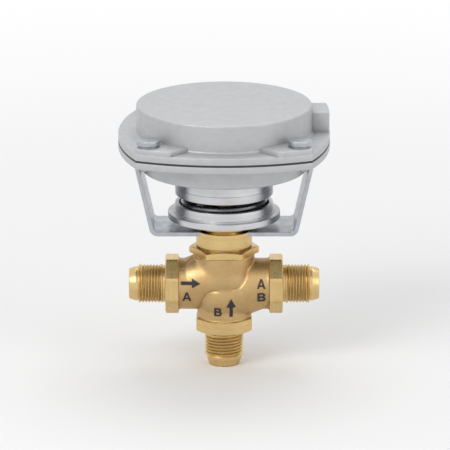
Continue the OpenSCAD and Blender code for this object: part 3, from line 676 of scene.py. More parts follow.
def meshed(points: np.ndarray, faces: Sequence[Sequence[int]], place: Matrix | None = None) -> Mesh:
    """Makes a mesh whose faces look outwards.

    Args:
        points: its vertices.
        faces: the vertices of each face.
        place: where the finished mesh goes.

    Returns:
        The mesh.
    """
    mesh = bpy.data.meshes.new("mesh")
    mesh.from_pydata(points.tolist(), [], faces)
    if place is not None:
        mesh.transform(place)
    bm = bmesh.new()
    bm.from_mesh(mesh)
    bmesh.ops.remove_doubles(bm, verts=bm.verts, dist=1e-7)
    bmesh.ops.recalc_face_normals(bm, faces=bm.faces)
    bm.to_mesh(mesh)
    bm.free()
    return mesh


def contours(node: str, height: float) -> list[Outline]:
    """The edges of a node's level faces at a height.

    Args:
        node: the CAD node.
        height: the faces' height.

    Returns:
        One closed outline for each edge, the longest first.
    """
    bm = bmesh.new()
    bm.from_mesh(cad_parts[node].data)
    bmesh.ops.remove_doubles(bm, verts=bm.verts, dist=1e-6)
    near = 0.02 * MM
    level = {face for face in bm.faces
             if abs(face.normal.z) > 0.99 and abs(face.calc_center_median().z - height) < near}
    rim = [edge for edge in bm.edges if sum(face in level for face in edge.link_faces) == 1]
    beside: dict[bmesh.types.BMVert, list[bmesh.types.BMVert]] = {}
    for edge in rim:
        for one, other in (edge.verts, reversed(edge.verts)):
            beside.setdefault(one, []).append(other)
    made = []
    while beside:
        here = next(iter(beside))
        line = []
        while here is not None:
            line.append((here.co.x, here.co.y))
            here = next((vertex for vertex in beside.pop(here) if vertex in beside), None)
        made.append(line)
    bm.free()
    return sorted(made, key=len, reverse=True)


def simplified(outline: Outline) -> Outline:
    """A closed outline without the points on its straight sides and those too close together."""
    made = list(outline)
    i = 0
    while i < len(made):
        here, before, after = Vector(made[i]), Vector(made[i - 1]), Vector(made[(i + 1) % len(made)])
        straight = (here - before).angle(after - here, 0.0) < math.radians(0.3)
        short = (here - before).length < 0.05 * MM
        if len(made) > 4 and (straight or short):
            made.pop(i)
        else:
            i += 1
    return made


def block(outline: Outline, low: float, high: float, edge: float, lean: Outline | None = None) -> Mesh:
    """A solid between two heights, with its sharp edges rounded.

    Args:
        outline: its outline at the foot.
        low: its foot.
        high: its top.
        edge: the rounding's width.
        lean: its outline at the top, if that is another one.

    Returns:
        The mesh.
    """
    count = len(outline)
    points = [(x, y, low) for x, y in outline] + [(x, y, high) for x, y in lean or outline]
    faces = between(0, count, count) + [tuple(range(count)), tuple(range(count, 2 * count))]
    mesh = meshed(np.array(points), faces)
    bm = bmesh.new()
    bm.from_mesh(mesh)
    sharp = [seam for seam in bm.edges if seam.calc_face_angle(0.0) > math.radians(30)]
    bmesh.ops.bevel(bm, geom=sharp, offset=edge, offset_type="OFFSET", segments=3,
                    profile=0.5, affect="EDGES", clamp_overlap=True)
    bm.to_mesh(mesh)
    bm.free()
    return mesh


def joined(meshes: Iterable[Mesh]) -> Mesh:
    """Puts several closed meshes into one."""
    bm = bmesh.new()
    for mesh in meshes:
        bm.from_mesh(mesh)
    made = bpy.data.meshes.new("joined")
    bm.to_mesh(made)
    bm.free()
    return made


def copies(mesh: Mesh, places: Iterable[Matrix]) -> Iterable[Mesh]:
    """The mesh again at each place."""
    for place in places:
        made = mesh.copy()
        made.transform(place)
        yield made


def bored(mesh: Mesh, tool: Mesh) -> Mesh:
    """Takes a tool's shape out of a mesh.

    Args:
        mesh: the mesh to cut.
        tool: the shape to take out.

    Returns:
        The cut mesh.
    """
    body, cutter = (bpy.data.objects.new("cut", data) for data in (mesh, tool))
    for item in (body, cutter):
        bpy.context.scene.collection.objects.link(item)
    cut = body.modifiers.new("cut", "BOOLEAN")
    cut.operation, cut.solver, cut.object = "DIFFERENCE", "EXACT", cutter
    made = bpy.data.meshes.new_from_object(body.evaluated_get(bpy.context.evaluated_depsgraph_get()))
    for item in (body, cutter):
        bpy.data.objects.remove(item)
    return made


def softened(node: str, radius: float, segments: int = 2) -> Mesh:
    """A copy of a node's mesh with its sharp edges rounded.

    Args:
        node: the CAD node.
        radius: the rounding's width.
        segments: the number of steps across it.

    Returns:
        The new mesh.
    """
    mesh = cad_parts[node].data.copy()
    bm = bmesh.new()
    bm.from_mesh(mesh)
    bmesh.ops.remove_doubles(bm, verts=bm.verts, dist=1e-6)
    bmesh.ops.dissolve_limit(bm, angle_limit=math.radians(0.4), verts=bm.verts, edges=bm.edges)
    sharp = [edge for edge in bm.edges
             if len(edge.link_faces) == 2 and edge.calc_face_angle(0.0) > math.radians(32)]
    bmesh.ops.bevel(bm, geom=sharp, offset=radius, offset_type="OFFSET", segments=segments,
                    profile=0.5, affect="EDGES", clamp_overlap=False)
    bmesh.ops.triangulate(bm, faces=[face for face in bm.faces if len(face.verts) > 4])
    bm.to_mesh(mesh)
    bm.free()
    return mesh


def even_shading(piece: Piece) -> Piece:
    """Lets large flat faces set the shading of the narrow rounds beside them."""
    weighted = piece.modifiers.new("even_shading", "WEIGHTED_NORMAL")
    weighted.mode = "FACE_AREA"
    weighted.keep_sharp = True
    return piece


def settled(piece: Piece, body: str, finish: Finish, *nodes: str) -> Piece:
    """Attaches a finished piece to its body, hides the nodes that it stands for, and reports it.

    Args:
        piece: the piece.
        body: the body that it rides on.
        finish: its finish; not used.
        nodes: the nodes that it replaces.

    Returns:
        The piece.
    """
    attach(piece, body)
    if nodes:
        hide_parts(*nodes)
    LOG.info("%s: %d faces on %s", piece.name, len(piece.data.polygons), body)
    return piece


class Port(Enum):
    """The three ports: name of the piece and direction of the port's axis."""

    A = ("port_a_nipple", Vector((-1, 0, 0)))
    AB = ("port_ab_nipple", Vector((1, 0, 0)))
    B = ("port_b_nipple", Vector((0, 0, -1)))


@dataclass
class FlarePorts:
    """The octagons, threads and flare noses of the three ports."""

    run_height: float = RUN_HEIGHT
    run_half: float = 26.0 * MM
    drop: float = 19.1 * MM
    octagon: float = 31.8 * MM
    octagon_length: float = 7.6 * MM
    chamfer_slope: float = 2.6
    chamfer_start: float = 15.85 * MM
    soft: float = 0.25 * MM
    bore: float = 6.35 * MM
    bore_edge: float = 0.5 * MM
    root: float = 9.98 * MM
    crest: float = 11.09 * MM
    pitch: float = 1.814 * MM
    shank: float = 1.9 * MM
    shank_depth: float = 0.5 * MM
    lead: float = 0.4 * MM
    thread_end: float = 22.6 * MM
    nose: float = 9.8 * MM
    nose_flat: float = 2.0 * MM
    nose_round: float = 0.2 * MM
    tip: float = 8.4 * MM
    tip_edge: float = 0.35 * MM
    tip_inset: float = 0.3 * MM
    length: float = 28.4 * MM
    count: int = 144

    def rings(self) -> list[Ring | Thread]:
        """The rings of one port along +Z, from its bore at the octagon to the bore at its nose."""
        wide = polygon_radius(np.arange(self.count) * TAU / self.count, 8, self.octagon)
        top = self.octagon_length - np.maximum(wide - self.chamfer_start, 0) / self.chamfer_slope
        flat = np.minimum(wide - 2 * self.soft, self.chamfer_start)
        neck, start = self.crest - self.shank_depth, self.octagon_length + self.shank
        nose = rounded([
            (self.nose, self.thread_end), (self.nose, self.thread_end + self.nose_flat),
            (self.tip + self.tip_edge, self.length - self.tip_edge),
            (self.tip - self.tip_inset, self.length), (self.bore + self.bore_edge, self.length),
            (self.bore, self.length - self.bore_edge),
        ], self.nose_round)
        return [
            (self.bore, 0.0), (wide - self.soft, 0.0), (wide, self.soft), (wide, top - self.soft),
            (wide - self.soft, top), (flat, self.octagon_length), (neck, self.octagon_length),
            (neck, start - self.lead), (self.crest, start),
            Thread(self.crest, self.root, self.pitch, start, self.thread_end),
            (self.crest, self.thread_end), *nose,
        ]

    def place(self, port: Port) -> Matrix:
        """Where a port's +Z axis and octagon go."""
        direction = port.value[1]
        reach = self.drop if port is Port.B else self.run_half
        angle = math.pi if port is Port.B else math.copysign(math.pi / 2, direction.x)
        turn = Matrix.Rotation(angle, 4, "Y")
        return Matrix.Translation(Vector((0, 0, self.run_height)) + direction * reach) @ turn

    def build(self) -> None:
        """Builds and dresses the three ports."""
        rings = self.rings()
        for port in Port:
            axis = Axis.Z if port is Port.B else Axis.X
            centre = (0.0, 0.0, 0.0 if port is Port.B else self.run_height)
            material = TURNED_BRASS.material(axis, centre)
            mesh = lofted(rings, self.count, self.place(port))
            settled(new_piece(port.value[0], mesh, material, crease=34.0), "valve", TURNED_BRASS)


@dataclass
class BodyCasting:
    """The cast middle of the valve body, with the creases between its chambers.

    The blends, the creases and the edges are lines in millimetres, in X and Z about the run's axis.
    A blend also has its reach in millimetres, and how often the surface is smoothed there. The
    fields that end in _from say how far from the middle plane each of them starts.
    """

    run_half: float = 26.5 * MM
    half_depth: float = 30.0 * MM
    bottom: float = 28.15 * MM
    top: float = 80.0 * MM
    run_height: float = RUN_HEIGHT
    voxel: float = 0.4 * MM
    smoothing: int = 7
    crease_depth: float = 0.45 * MM
    crease_width: float = 0.45 * MM
    crease_fade: float = 8.0
    crease_end: float = 0.25
    edge_depth: float = 0.4 * MM
    edge_slack: float = 0.5
    parting_height: float = 0.14 * MM
    parting_width: float = 0.55 * MM
    parting_radius: float = 12.5 * MM
    blend_from: float = 8.0 * MM
    crease_from: float = 9.0 * MM
    edge_from: float = 3.0 * MM
    facing_gain: float = 2.2
    blends: tuple = (((-17.2, 17.0), (-4.5, 5.6), 3.4, 70), ((-2.4, -0.1), (4.0, 0.5), 1.3, 30))
    lower_crease: tuple = (
        (-18.6, -15.4), (-17.4, -14.8), (-13.4, -11.6), (-12.3, -6.6), (-10.2, -2.6), (-7.3, -0.6),
        (-3.2, -0.1),
    )
    upper_crease: tuple = (
        (4.6, 0.6), (8.9, 1.9), (11.8, 5.7), (13.0, 9.3), (14.3, 12.2), (18.6, 14.5), (19.4, 14.9),
    )
    left_edge: tuple = ((-23.4, 10.6), (-22.5, 12.2), (-18.4, 15.8), (-12.0, 17.4))
    right_edge: tuple = ((25.2, -6.4), (25.0, -7.3), (23.7, -11.6), (20.6, -14.4))

    def build(self) -> Piece:
        """Builds the casting from the valve body's node and cuts its creases."""
        source = bpy.data.objects.new("casting_source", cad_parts["valve_body"].data.copy())
        bpy.context.scene.collection.objects.link(source)
        weld = source.modifiers.new("weld", "WELD")
        weld.merge_threshold = 1e-6
        keeper = self.cutting_block()
        cut = source.modifiers.new("cut", "BOOLEAN")
        cut.operation, cut.solver, cut.object = "INTERSECT", "EXACT", keeper
        remesh = source.modifiers.new("remesh", "REMESH")
        remesh.mode, remesh.voxel_size = "VOXEL", self.voxel
        smooth = source.modifiers.new("smooth", "SMOOTH")
        smooth.factor, smooth.iterations = 0.5, self.smoothing
        evaluated = source.evaluated_get(bpy.context.evaluated_depsgraph_get())
        mesh = bpy.data.meshes.new_from_object(evaluated)
        for spare in (source, keeper):
            bpy.data.objects.remove(spare)
        for blend in self.blends:
            self.smooth_away(mesh, *blend)
        self.crease(mesh)
        piece = new_piece("body_casting", mesh, CAST_BRONZE.material(), crease=60.0)
        return settled(piece, "valve", CAST_BRONZE, "valve_body")

    def cutting_block(self) -> Piece:
        """The block that holds the casting between its three octagons."""
        mesh = bpy.data.meshes.new("block")
        bm = bmesh.new()
        bmesh.ops.create_cube(bm, size=1.0)
        size = Vector((2 * self.run_half, 2 * self.half_depth, self.top - self.bottom))
        for vertex in bm.verts:
            x, y, z = vertex.co
            vertex.co = Vector((x * size.x, y * size.y, (z + 0.5) * size.z + self.bottom))
        bm.to_mesh(mesh)
        bm.free()
        made = bpy.data.objects.new("block", mesh)
        made.hide_render = True
        bpy.context.scene.collection.objects.link(made)
        return made

    def smooth_away(self, mesh: Mesh, start: tuple, end: tuple, reach: float, times: int) -> None:
        """Blends the casting's front and back along a line, as cast surfaces flow together.

        Args:
            mesh: the casting's mesh, which is changed.
            start: the line's start.
            end: its end.
            reach: how far to its sides the blend goes, in millimetres.
            times: how often the surface is smoothed.
        """
        bm = bmesh.new()
        bm.from_mesh(mesh)
        first, step = Vector(start) * MM, (Vector(end) - Vector(start)) * MM
        near = []
        for vertex in bm.verts:
            spot = Vector((vertex.co.x, vertex.co.z - self.run_height))
            t = min(max((spot - first).dot(step) / step.length_squared, 0), 1)
            away = (spot - first - step * t).length
            if abs(vertex.co.y) > self.blend_from and away < reach * MM:
                near.append(vertex)
        axes = {"use_axis_x": True, "use_axis_y": True, "use_axis_z": True}
        for _ in range(times):
            bmesh.ops.smooth_vert(bm, verts=near, factor=0.5, **axes)
        bm.to_mesh(mesh)
        bm.free()

    def pressed(self, flat: np.ndarray, line: Sequence, depth: float) -> np.ndarray:
        """How deep a crease is at each point.

        Args:
            flat: the points in X and Z about the run's axis.
            line: the line that the crease follows.
            depth: its depth on the line.

        Returns:
            The depth, which fades to the line's sides and towards its ends.
        """
        corners = np.array(smooth_line(line, 6)) * MM
        away, along = np.full(len(flat), 1.0), np.zeros(len(flat))
        for i, (start, end) in enumerate(zip(corners[:-1], corners[1:])):
            step = end - start
            t = np.clip(((flat - start) @ step) / (step @ step), 0, 1)
            gap = np.linalg.norm(flat - start - t[:, None] * step, axis=1)
            closer = gap < away
            away[closer], along[closer] = gap[closer], (i + t[closer]) / (len(corners) - 1)
        ends = np.clip(np.minimum(along, 1 - along) * self.crease_fade + self.crease_end, 0, 1)
        return depth * np.exp(-((away / self.crease_width) ** 2)) * ends

    def crease(self, mesh: Mesh) -> None:
        """Presses the creases into the casting's front and back, and raises its parting line.

        Args:
            mesh: the casting's mesh, which is changed.
        """
        count = len(mesh.vertices)
        points, normals = np.zeros(count * 3), np.zeros(count * 3)
        mesh.vertices.foreach_get("co", points)
        mesh.vertex_normals.foreach_get("vector", normals)
        points, normals = points.reshape(-1, 3), normals.reshape(-1, 3)
        flat = points[:, [0, 2]] - np.array([0.0, self.run_height])
        depth, turn = np.abs(points[:, 1]), np.abs(normals[:, 1])
        facing = np.clip(turn * self.facing_gain, 0, 1) * (depth > self.crease_from)
        move = np.zeros(count)
        for line in (self.lower_crease, self.upper_crease):
            move = np.minimum(move, -self.pressed(flat, line, self.crease_depth) * facing)
        for line in (self.left_edge, self.right_edge):
            front = np.clip(facing + self.edge_slack, 0, 1) * (depth > self.edge_from)
            move = np.minimum(move, -self.pressed(flat, line, self.edge_depth) * front)
        outside = np.hypot(points[:, 1], flat[:, 1]) > self.parting_radius
        ridge = np.exp(-((points[:, 1] / self.parting_width) ** 2)) * (turn < 0.5) * outside
        points += normals * (move + self.parting_height * ridge)[:, None]
        mesh.vertices.foreach_set("co", points.ravel())
        mesh.update()


def smooth_line(points: Sequence, steps: int) -> Outline:
    """A smooth open curve through the points.

    Args:
        points: the points that it passes.
        steps: the number of chords between each two.

    Returns:
        The finer line.
    """
    spots = [Vector(point) for point in points]
    made = []
    for i in range(len(spots) - 1):
        before, start = spots[max(i - 1, 0)], spots[i]
        end, after = spots[i + 1], spots[min(i + 2, len(spots) - 1)]
        for k in range(steps):
            t = k / steps
            made.append(tuple(0.5 * (
                2 * start + (end - before) * t + (2 * before - 5 * start + 4 * end - after) * t * t
                + (3 * start - before - 3 * end + after) * t ** 3)))
    return made + [tuple(spots[-1])]


@dataclass
class FlowMarks:
    """The raised arrows and port letters on the front of the casting.

    The letters' boxes, the arrows' sizes and their tails are in millimetres, in X and Z about the
    run's axis. An arrow's size is its length, its shaft, its head's length and its head's width.
    """

    run_height: float = RUN_HEIGHT
    height: float = 0.35 * MM
    sink: float = 0.5 * MM
    facet: float = 0.55 * MM
    rounds: int = 5
    ray_from: float = -60.0 * MM
    bowl_steps: int = 12
    inlet: tuple = (11.1, 1.9, 4.9, 5.5)
    inlet_tail: tuple = (-24.6, 4.2)
    riser: tuple = (11.2, 1.9, 5.2, 5.5)
    riser_tail: tuple = (4.1, -15.6)
    letters: tuple = (
        ("A", -23.8, -18.8, -6.6, -1.2), ("B", -5.7, -1.3, -15.3, -10.1),
        ("A", 18.8, 23.6, 1.0, 6.4), ("B", 19.1, 23.8, -6.9, -1.6),
    )

    def arrow(self, size: Sequence[float], tail: Sequence[float], turn: float) -> BMesh:
        """A flat arrow.

        Args:
            size: its length, its shaft, its head's length and its head's width.
            tail: where its tail is.
            turn: how far it is turned from +X towards +Z.

        Returns:
            The flat arrow.
        """
        length, shaft, head, width = (part * MM for part in size)
        neck = length - head
        outline = [
            (0, -shaft / 2), (neck, -shaft / 2), (neck, -width / 2), (length, 0), (neck, width / 2),
            (neck, shaft / 2), (0, shaft / 2),
        ]
        place = Matrix.Translation((tail[0] * MM, 0, tail[1] * MM)) @ Matrix.Rotation(-turn, 4, "Y")
        bm = bmesh.new()
        corners = [bm.verts.new(place @ Vector((x, 0, z))) for x, z in outline]
        for face in ((0, 1, 5, 6), (3, 4, 5), (3, 5, 1), (3, 1, 2)):
            bm.faces.new([corners[i] for i in face])
        return bm

    def shapes(self) -> Iterable[BMesh]:
        """The flat marks."""
        yield self.arrow(self.inlet, self.inlet_tail, 0.0)
        yield self.arrow(self.riser, self.riser_tail, math.pi / 2)
        for letter, *box in self.letters:
            yield self.letter(letter, *(side * MM for side in box))

    def bowl(self, left: float, right: float, low: float, high: float, first: float = 0.0,
             last: float = 1.0) -> Outline:
        """The round right side of a letter, from its lower end to its upper end.

        Args:
            left: where the round starts and ends, in widths of the letter.
            right: how far it reaches.
            low: its lower end, in heights of the letter.
            high: its upper end.
            first: the part of the round that is left out before its start.
            last: the part at which it stops.

        Returns:
            The open outline.
        """
        middle, half = (low + high) / 2, (high - low) / 2
        turns = np.linspace(first, last, self.bowl_steps) * math.pi
        return [(left + (right - left) * math.sin(t) ** 0.8, middle - half * math.cos(t))
                for t in turns]

    def strokes(self, letter: str) -> list[Outline]:
        """A bold A or B in a box of one by one.

        Args:
            letter: the letter.

        Returns:
            Its outer edge, and then its counters.
        """
        if letter == "A":
            return [
                [(0.0, 0.0), (0.385, 1.0), (0.615, 1.0), (1.0, 0.0), (0.78, 0.0), (0.7065, 0.21),
                 (0.2935, 0.21), (0.22, 0.0)],
                [(0.35, 0.37), (0.65, 0.37), (0.5, 0.8)],
            ]
        return [
            [(0.0, 0.0), *self.bowl(0.5, 1.0, 0.0, 0.57, last=0.78), (0.78, 0.535),
             *self.bowl(0.5, 0.93, 0.51, 1.0, first=0.22), (0.0, 1.0)],
            [(0.25, 0.17), *self.bowl(0.5, 0.73, 0.17, 0.42), (0.25, 0.42)],
            [(0.25, 0.59), *self.bowl(0.48, 0.68, 0.59, 0.83), (0.25, 0.83)],
        ]

    def letter(self, letter: str, left: float, right: float, low: float, high: float) -> BMesh:
        """A bold letter that fills a box.

        Args:
            letter: the letter.
            left: the box's left side.
            right: its right side.
            low: its foot.
            high: its top.

        Returns:
            The flat letter.
        """
        loops = [[Vector((across, up, 0)) for across, up in line] for line in self.strokes(letter)]
        bm = bmesh.new()
        corners = [bm.verts.new((left + (right - left) * spot.x, 0, low + (high - low) * spot.y))
                   for line in loops for spot in line]
        for face in tessellate_polygon(loops):
            bm.faces.new([corners[i] for i in face])
        return bm

    def raise_on(self, bm: BMesh, surface: BVHTree) -> None:
        """Lays a flat mark on the casting and gives it its thickness.

        Args:
            bm: the flat mark, which is changed.
            surface: the casting's surface.
        """
        for _ in range(self.rounds):
            bmesh.ops.triangulate(bm, faces=bm.faces)
            long = [edge for edge in bm.edges if edge.calc_length() > self.facet]
            if not long:
                break
            bmesh.ops.subdivide_edges(bm, edges=long, cuts=1)
        bmesh.ops.triangulate(bm, faces=bm.faces)
        for v in bm.verts:
            start = Vector((v.co.x, self.ray_from, v.co.z + self.run_height))
            hit = surface.ray_cast(start, Vector((0, 1, 0)))[0]
            v.co = Vector((start.x, (hit.y if hit else 0.0) - self.height, start.z))
        grown = bmesh.ops.extrude_face_region(bm, geom=bm.faces[:])
        for v in (item for item in grown["geom"] if isinstance(item, bmesh.types.BMVert)):
            v.co.y += self.height + self.sink
        bmesh.ops.recalc_face_normals(bm, faces=bm.faces)

    def build(self, casting: Piece) -> None:
        """Builds the marks on the casting.

        Args:
            casting: the body casting.
        """
        surface = BVHTree.FromObject(casting, bpy.context.evaluated_depsgraph_get())
        whole = bmesh.new()
        for bm in self.shapes():
            self.raise_on(bm, surface)
            part = bpy.data.meshes.new("part")
            bm.to_mesh(part)
            bm.free()
            whole.from_mesh(part)
        mesh = bpy.data.meshes.new("flow_marks")
        whole.to_mesh(mesh)
        whole.free()
        piece = new_piece("flow_marks", mesh, MARK_PAINT.material(), crease=40.0)
        settled(piece, "valve", MARK_PAINT)


@dataclass
class Bonnet:
    """The bonnet: hexagon, groove, shoulder and the threaded neck through the yoke."""

    foot: float = 61.2 * MM
    hex_foot: float = 66.2 * MM
    hex_top: float = 70.4 * MM
    hex_across: float = 34.9 * MM
    chamfer_start: float = 17.5 * MM
    chamfer_slope: float = 3.2
    groove_top: float = 71.3 * MM
    groove: float = 15.15 * MM
    shoulder: float = 16.05 * MM
    shoulder_top: float = 80.4 * MM
    neck: float = 13.24 * MM
    neck_top: float = 95.6 * MM
    pitch: float = 1.5 * MM
    thread: float = 0.75 * MM
    soft: float = 0.25 * MM
    spigot: float = 13.9 * MM
    bore: float = 4.03 * MM
    packing_bore: float = 7.0 * MM
    packing_floor: float = 76.0 * MM
    nut_bore: float = 8.55 * MM
    nut_floor: float = 86.8 * MM
    count: int = 144

    def build(self) -> None:
        """Builds and dresses the bonnet."""
        wide = polygon_radius(np.arange(self.count) * TAU / self.count, 6, self.hex_across)
        top = self.hex_top - np.maximum(wide - self.chamfer_start, 0) / self.chamfer_slope
        soft, end = self.soft, self.neck_top - self.soft
        thread = Thread(self.neck, self.neck - self.thread, self.pitch, self.shoulder_top, end)
        rings: list[Ring | Thread] = [
            (self.bore, self.foot), (self.spigot, self.foot), (self.spigot, self.hex_foot),
            (wide - soft, self.hex_foot), (wide, self.hex_foot + soft), (wide, top - soft),
            (wide - soft, top), (np.minimum(wide - 2 * soft, self.chamfer_start), self.hex_top),
            (self.groove, self.hex_top), (self.groove, self.groove_top),
            (self.shoulder - soft, self.groove_top), (self.shoulder, self.groove_top + soft),
            (self.shoulder, self.shoulder_top - soft), (self.shoulder - soft, self.shoulder_top),
            (self.neck, self.shoulder_top), thread, (self.neck, end),
            (self.neck - soft, self.neck_top), (self.nut_bore, self.neck_top),
            (self.nut_bore, self.nut_floor), (self.packing_bore, self.nut_floor),
            (self.packing_bore, self.packing_floor), (self.bore, self.packing_floor),
        ]
        mesh = lofted(rings, self.count)
        piece = new_piece("bonnet_turned", mesh, TURNED_BRASS.material(), crease=34.0)
        settled(piece, "valve", TURNED_BRASS, "bonnet")


@dataclass
class Yoke:
    """The bent strap, its lock nut and the screws that hold it to the housing."""

    edge: float = 0.3 * MM
    nut_edge: float = 0.15 * MM
    head_edge: float = 0.35 * MM
    screw_height: float = 42.9 * MM
    screw_half_gap: float = 8.0 * MM
    head_height: float = 1.8 * MM
    slot_depth: float = 0.8 * MM
    slot_half: float = 0.5 * MM
    slot_edge: float = 0.1 * MM
    slot_turns: tuple = (20.0, 75.0, -35.0, 50.0)
    cutter_reach: float = 6.0 * MM
    cutter_height: float = 4.0 * MM

    def slots(self) -> Mesh:
        """The cutter of the driver slots in the four leg screws."""
        reach, half, floor = self.cutter_reach, self.slot_half, self.head_height - self.slot_depth
        outline = [(-reach, -half), (reach, -half), (reach, half), (-reach, half)]
        slot = block(outline, floor, floor + self.cutter_height, self.slot_edge)
        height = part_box("yoke")[0].z + self.screw_height
        along = LEG_HALF + self.screw_height * math.tan(LEG_LEAN)
        places = []
        for i, turn in enumerate(self.slot_turns):
            side, row = (1, -1)[i % 2], (1, -1)[i // 2]
            lean = Matrix.Rotation(side * (math.pi / 2 + LEG_LEAN), 4, "Y")
            spot = Matrix.Translation((side * along, row * self.screw_half_gap, height))
            places.append(spot @ lean @ Matrix.Rotation(math.radians(turn), 4, "Z"))
        return joined(copies(slot, places))

    def build(self) -> None:
        """Builds and dresses the yoke's pieces."""
        strap = new_piece("yoke_strap", softened("yoke", self.edge), ZINC_PLATE.material())
        settled(even_shading(strap), "valve", ZINC_PLATE, "yoke")
        nut = new_piece("yoke_nut", softened("yoke_lock_nut", self.nut_edge), TURNED_BRASS.material())
        settled(even_shading(nut), "valve", TURNED_BRASS, "yoke_lock_nut")
        heads = bored(softened("yoke_screws", self.head_edge, 3), self.slots())
        screws = new_piece("yoke_leg_screws", heads, ZINC_PLATE.material())
        settled(even_shading(screws), "valve", ZINC_PLATE, "yoke_screws")


@dataclass
class SpringSet:
    """The adjusting ring, the spring's seat, the return spring and the spring cup."""

    wire: float = 1.9 * MM
    coil: float = 23.0 * MM
    turns: float = 5.5
    end_pitch: float = 1.04
    steps: int = 48
    sides: int = 14
    count: int = 128
    edge: float = 0.3 * MM
    travel: float = 4.8 * MM
    ring_bore: float = 13.35 * MM
    ring_flange: float = 3.5 * MM
    ring_wall: float = 27.9 * MM
    ring_inside: float = 25.6 * MM
    ledge: float = 28.7 * MM
    ledge_height: float = 0.6 * MM
    hub: float = 16.0 * MM
    hub_height: float = 5.9 * MM
    cup_bore: float = 4.02 * MM
    cup_inside: float = 25.4 * MM
    cup_wall: float = 27.6 * MM
    cup_roof: float = 3.0 * MM
    band_height: float = 4.4 * MM
    band_edge: float = 0.1 * MM

    def ring_profile(self) -> Outline:
        """Profile of the adjusting ring."""
        low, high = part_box("adjusting_ring")
        floor, hub_top = low.z + self.ring_flange, low.z + self.hub_height
        ledge_top = floor + self.ledge_height
        return rounded([
            (self.ring_bore, low.z), (high.x, low.z), (high.x, floor), (self.ledge, floor),
            (self.ledge, ledge_top), (self.ring_wall, ledge_top), (self.ring_wall, high.z),
            (self.ring_inside, high.z), (self.ring_inside, floor), (self.hub, floor),
            (self.hub, hub_top), (self.ring_bore, hub_top),
        ], self.edge)

    def cup_profile(self) -> Outline:
        """Profile of the spring cup."""
        low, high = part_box("spring_cup")
        under, band = high.z - self.cup_roof, low.z + self.band_height
        return rounded([
            (self.cup_bore, under), (self.cup_inside, under), (self.cup_inside, low.z),
            (high.x, low.z), (high.x, band), (self.cup_wall, band + self.band_edge),
            (self.cup_wall, high.z), (self.cup_bore, high.z),
        ], self.edge)

    def spring_mesh(self) -> Mesh:
        """The round wire along its helix, with closed end turns."""
        low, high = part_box("return_spring")
        length = high.z - low.z
        closed = 2 * self.wire * self.end_pitch
        rise = (length - 2 * self.wire - 2 * closed) / (self.turns - 2)
        count = round(self.turns * self.steps)
        points: list[tuple[float, float, float]] = []
        faces: list[Sequence[int]] = []
        for i in range(count + 1):
            t = self.turns * i / count
            if t < 1:
                height = closed * t
            elif t > self.turns - 1:
                height = length - 2 * self.wire - closed * (self.turns - t)
            else:
                height = closed + rise * (t - 1)
            for k in range(self.sides):
                a = TAU * k / self.sides
                across = self.coil + self.wire * math.cos(a)
                points.append((across * math.cos(TAU * t), across * math.sin(TAU * t),
                               low.z + height + self.wire * (1 + math.sin(a))))
            if i < count:
                faces += between(i * self.sides, (i + 1) * self.sides, self.sides)
        faces.append(list(range(self.sides)))
        faces.append(list(range(count * self.sides, (count + 1) * self.sides)))
        return meshed(np.array(points), faces)

    def build(self) -> None:
        """Builds and dresses the spring's pieces."""
        bright = TURNED_ALUMINIUM.material()
        ring = new_piece("adjusting_ring_turned", lofted(self.ring_profile(), self.count), bright)
        settled(ring, "ring", TURNED_ALUMINIUM, "adjusting_ring")
        cup = new_piece("spring_cup_turned", lofted(self.cup_profile(), self.count), bright)
        settled(cup, "stem", TURNED_ALUMINIUM, "spring_cup")
        oiled = SPRING_STEEL.material()
        spring = new_piece("return_spring_wire", self.spring_mesh(), oiled, crease=50.0)
        settled(spring, "seat", SPRING_STEEL, "return_spring")
        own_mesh(spring)


def flange_plate(low: float, high: float, hole: float, edge: float, count: int = 360) -> Mesh:
    """A plate with the housing's four bulging sides and a round hole.

    Args:
        low: its underside.
        high: its top.
        hole: the radius of its hole.
        edge: the rounding of its rim.
        count: the number of points round it.

    Returns:
        The mesh.
    """
    side, half = FLANGE_SIDE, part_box("lower_housing")[1].x
    angles = np.arange(count) * TAU / count
    folded = (angles + math.pi / 4) % (math.pi / 2) - math.pi / 4
    wide = np.sqrt(side ** 2 - ((side - half) * np.sin(folded)) ** 2) - (side - half) * np.cos(folded)
    turns = np.radians([0, 45, 90])
    rings: list[Ring | Thread] = [(hole, low)]
    rings += [(wide - edge * (1 - math.sin(t)), low + edge * (1 - math.cos(t))) for t in turns]
    rings += [(wide - edge * (1 - math.cos(t)), high - edge * (1 - math.sin(t))) for t in turns]
    return lofted(rings + [(hole, high)], count)


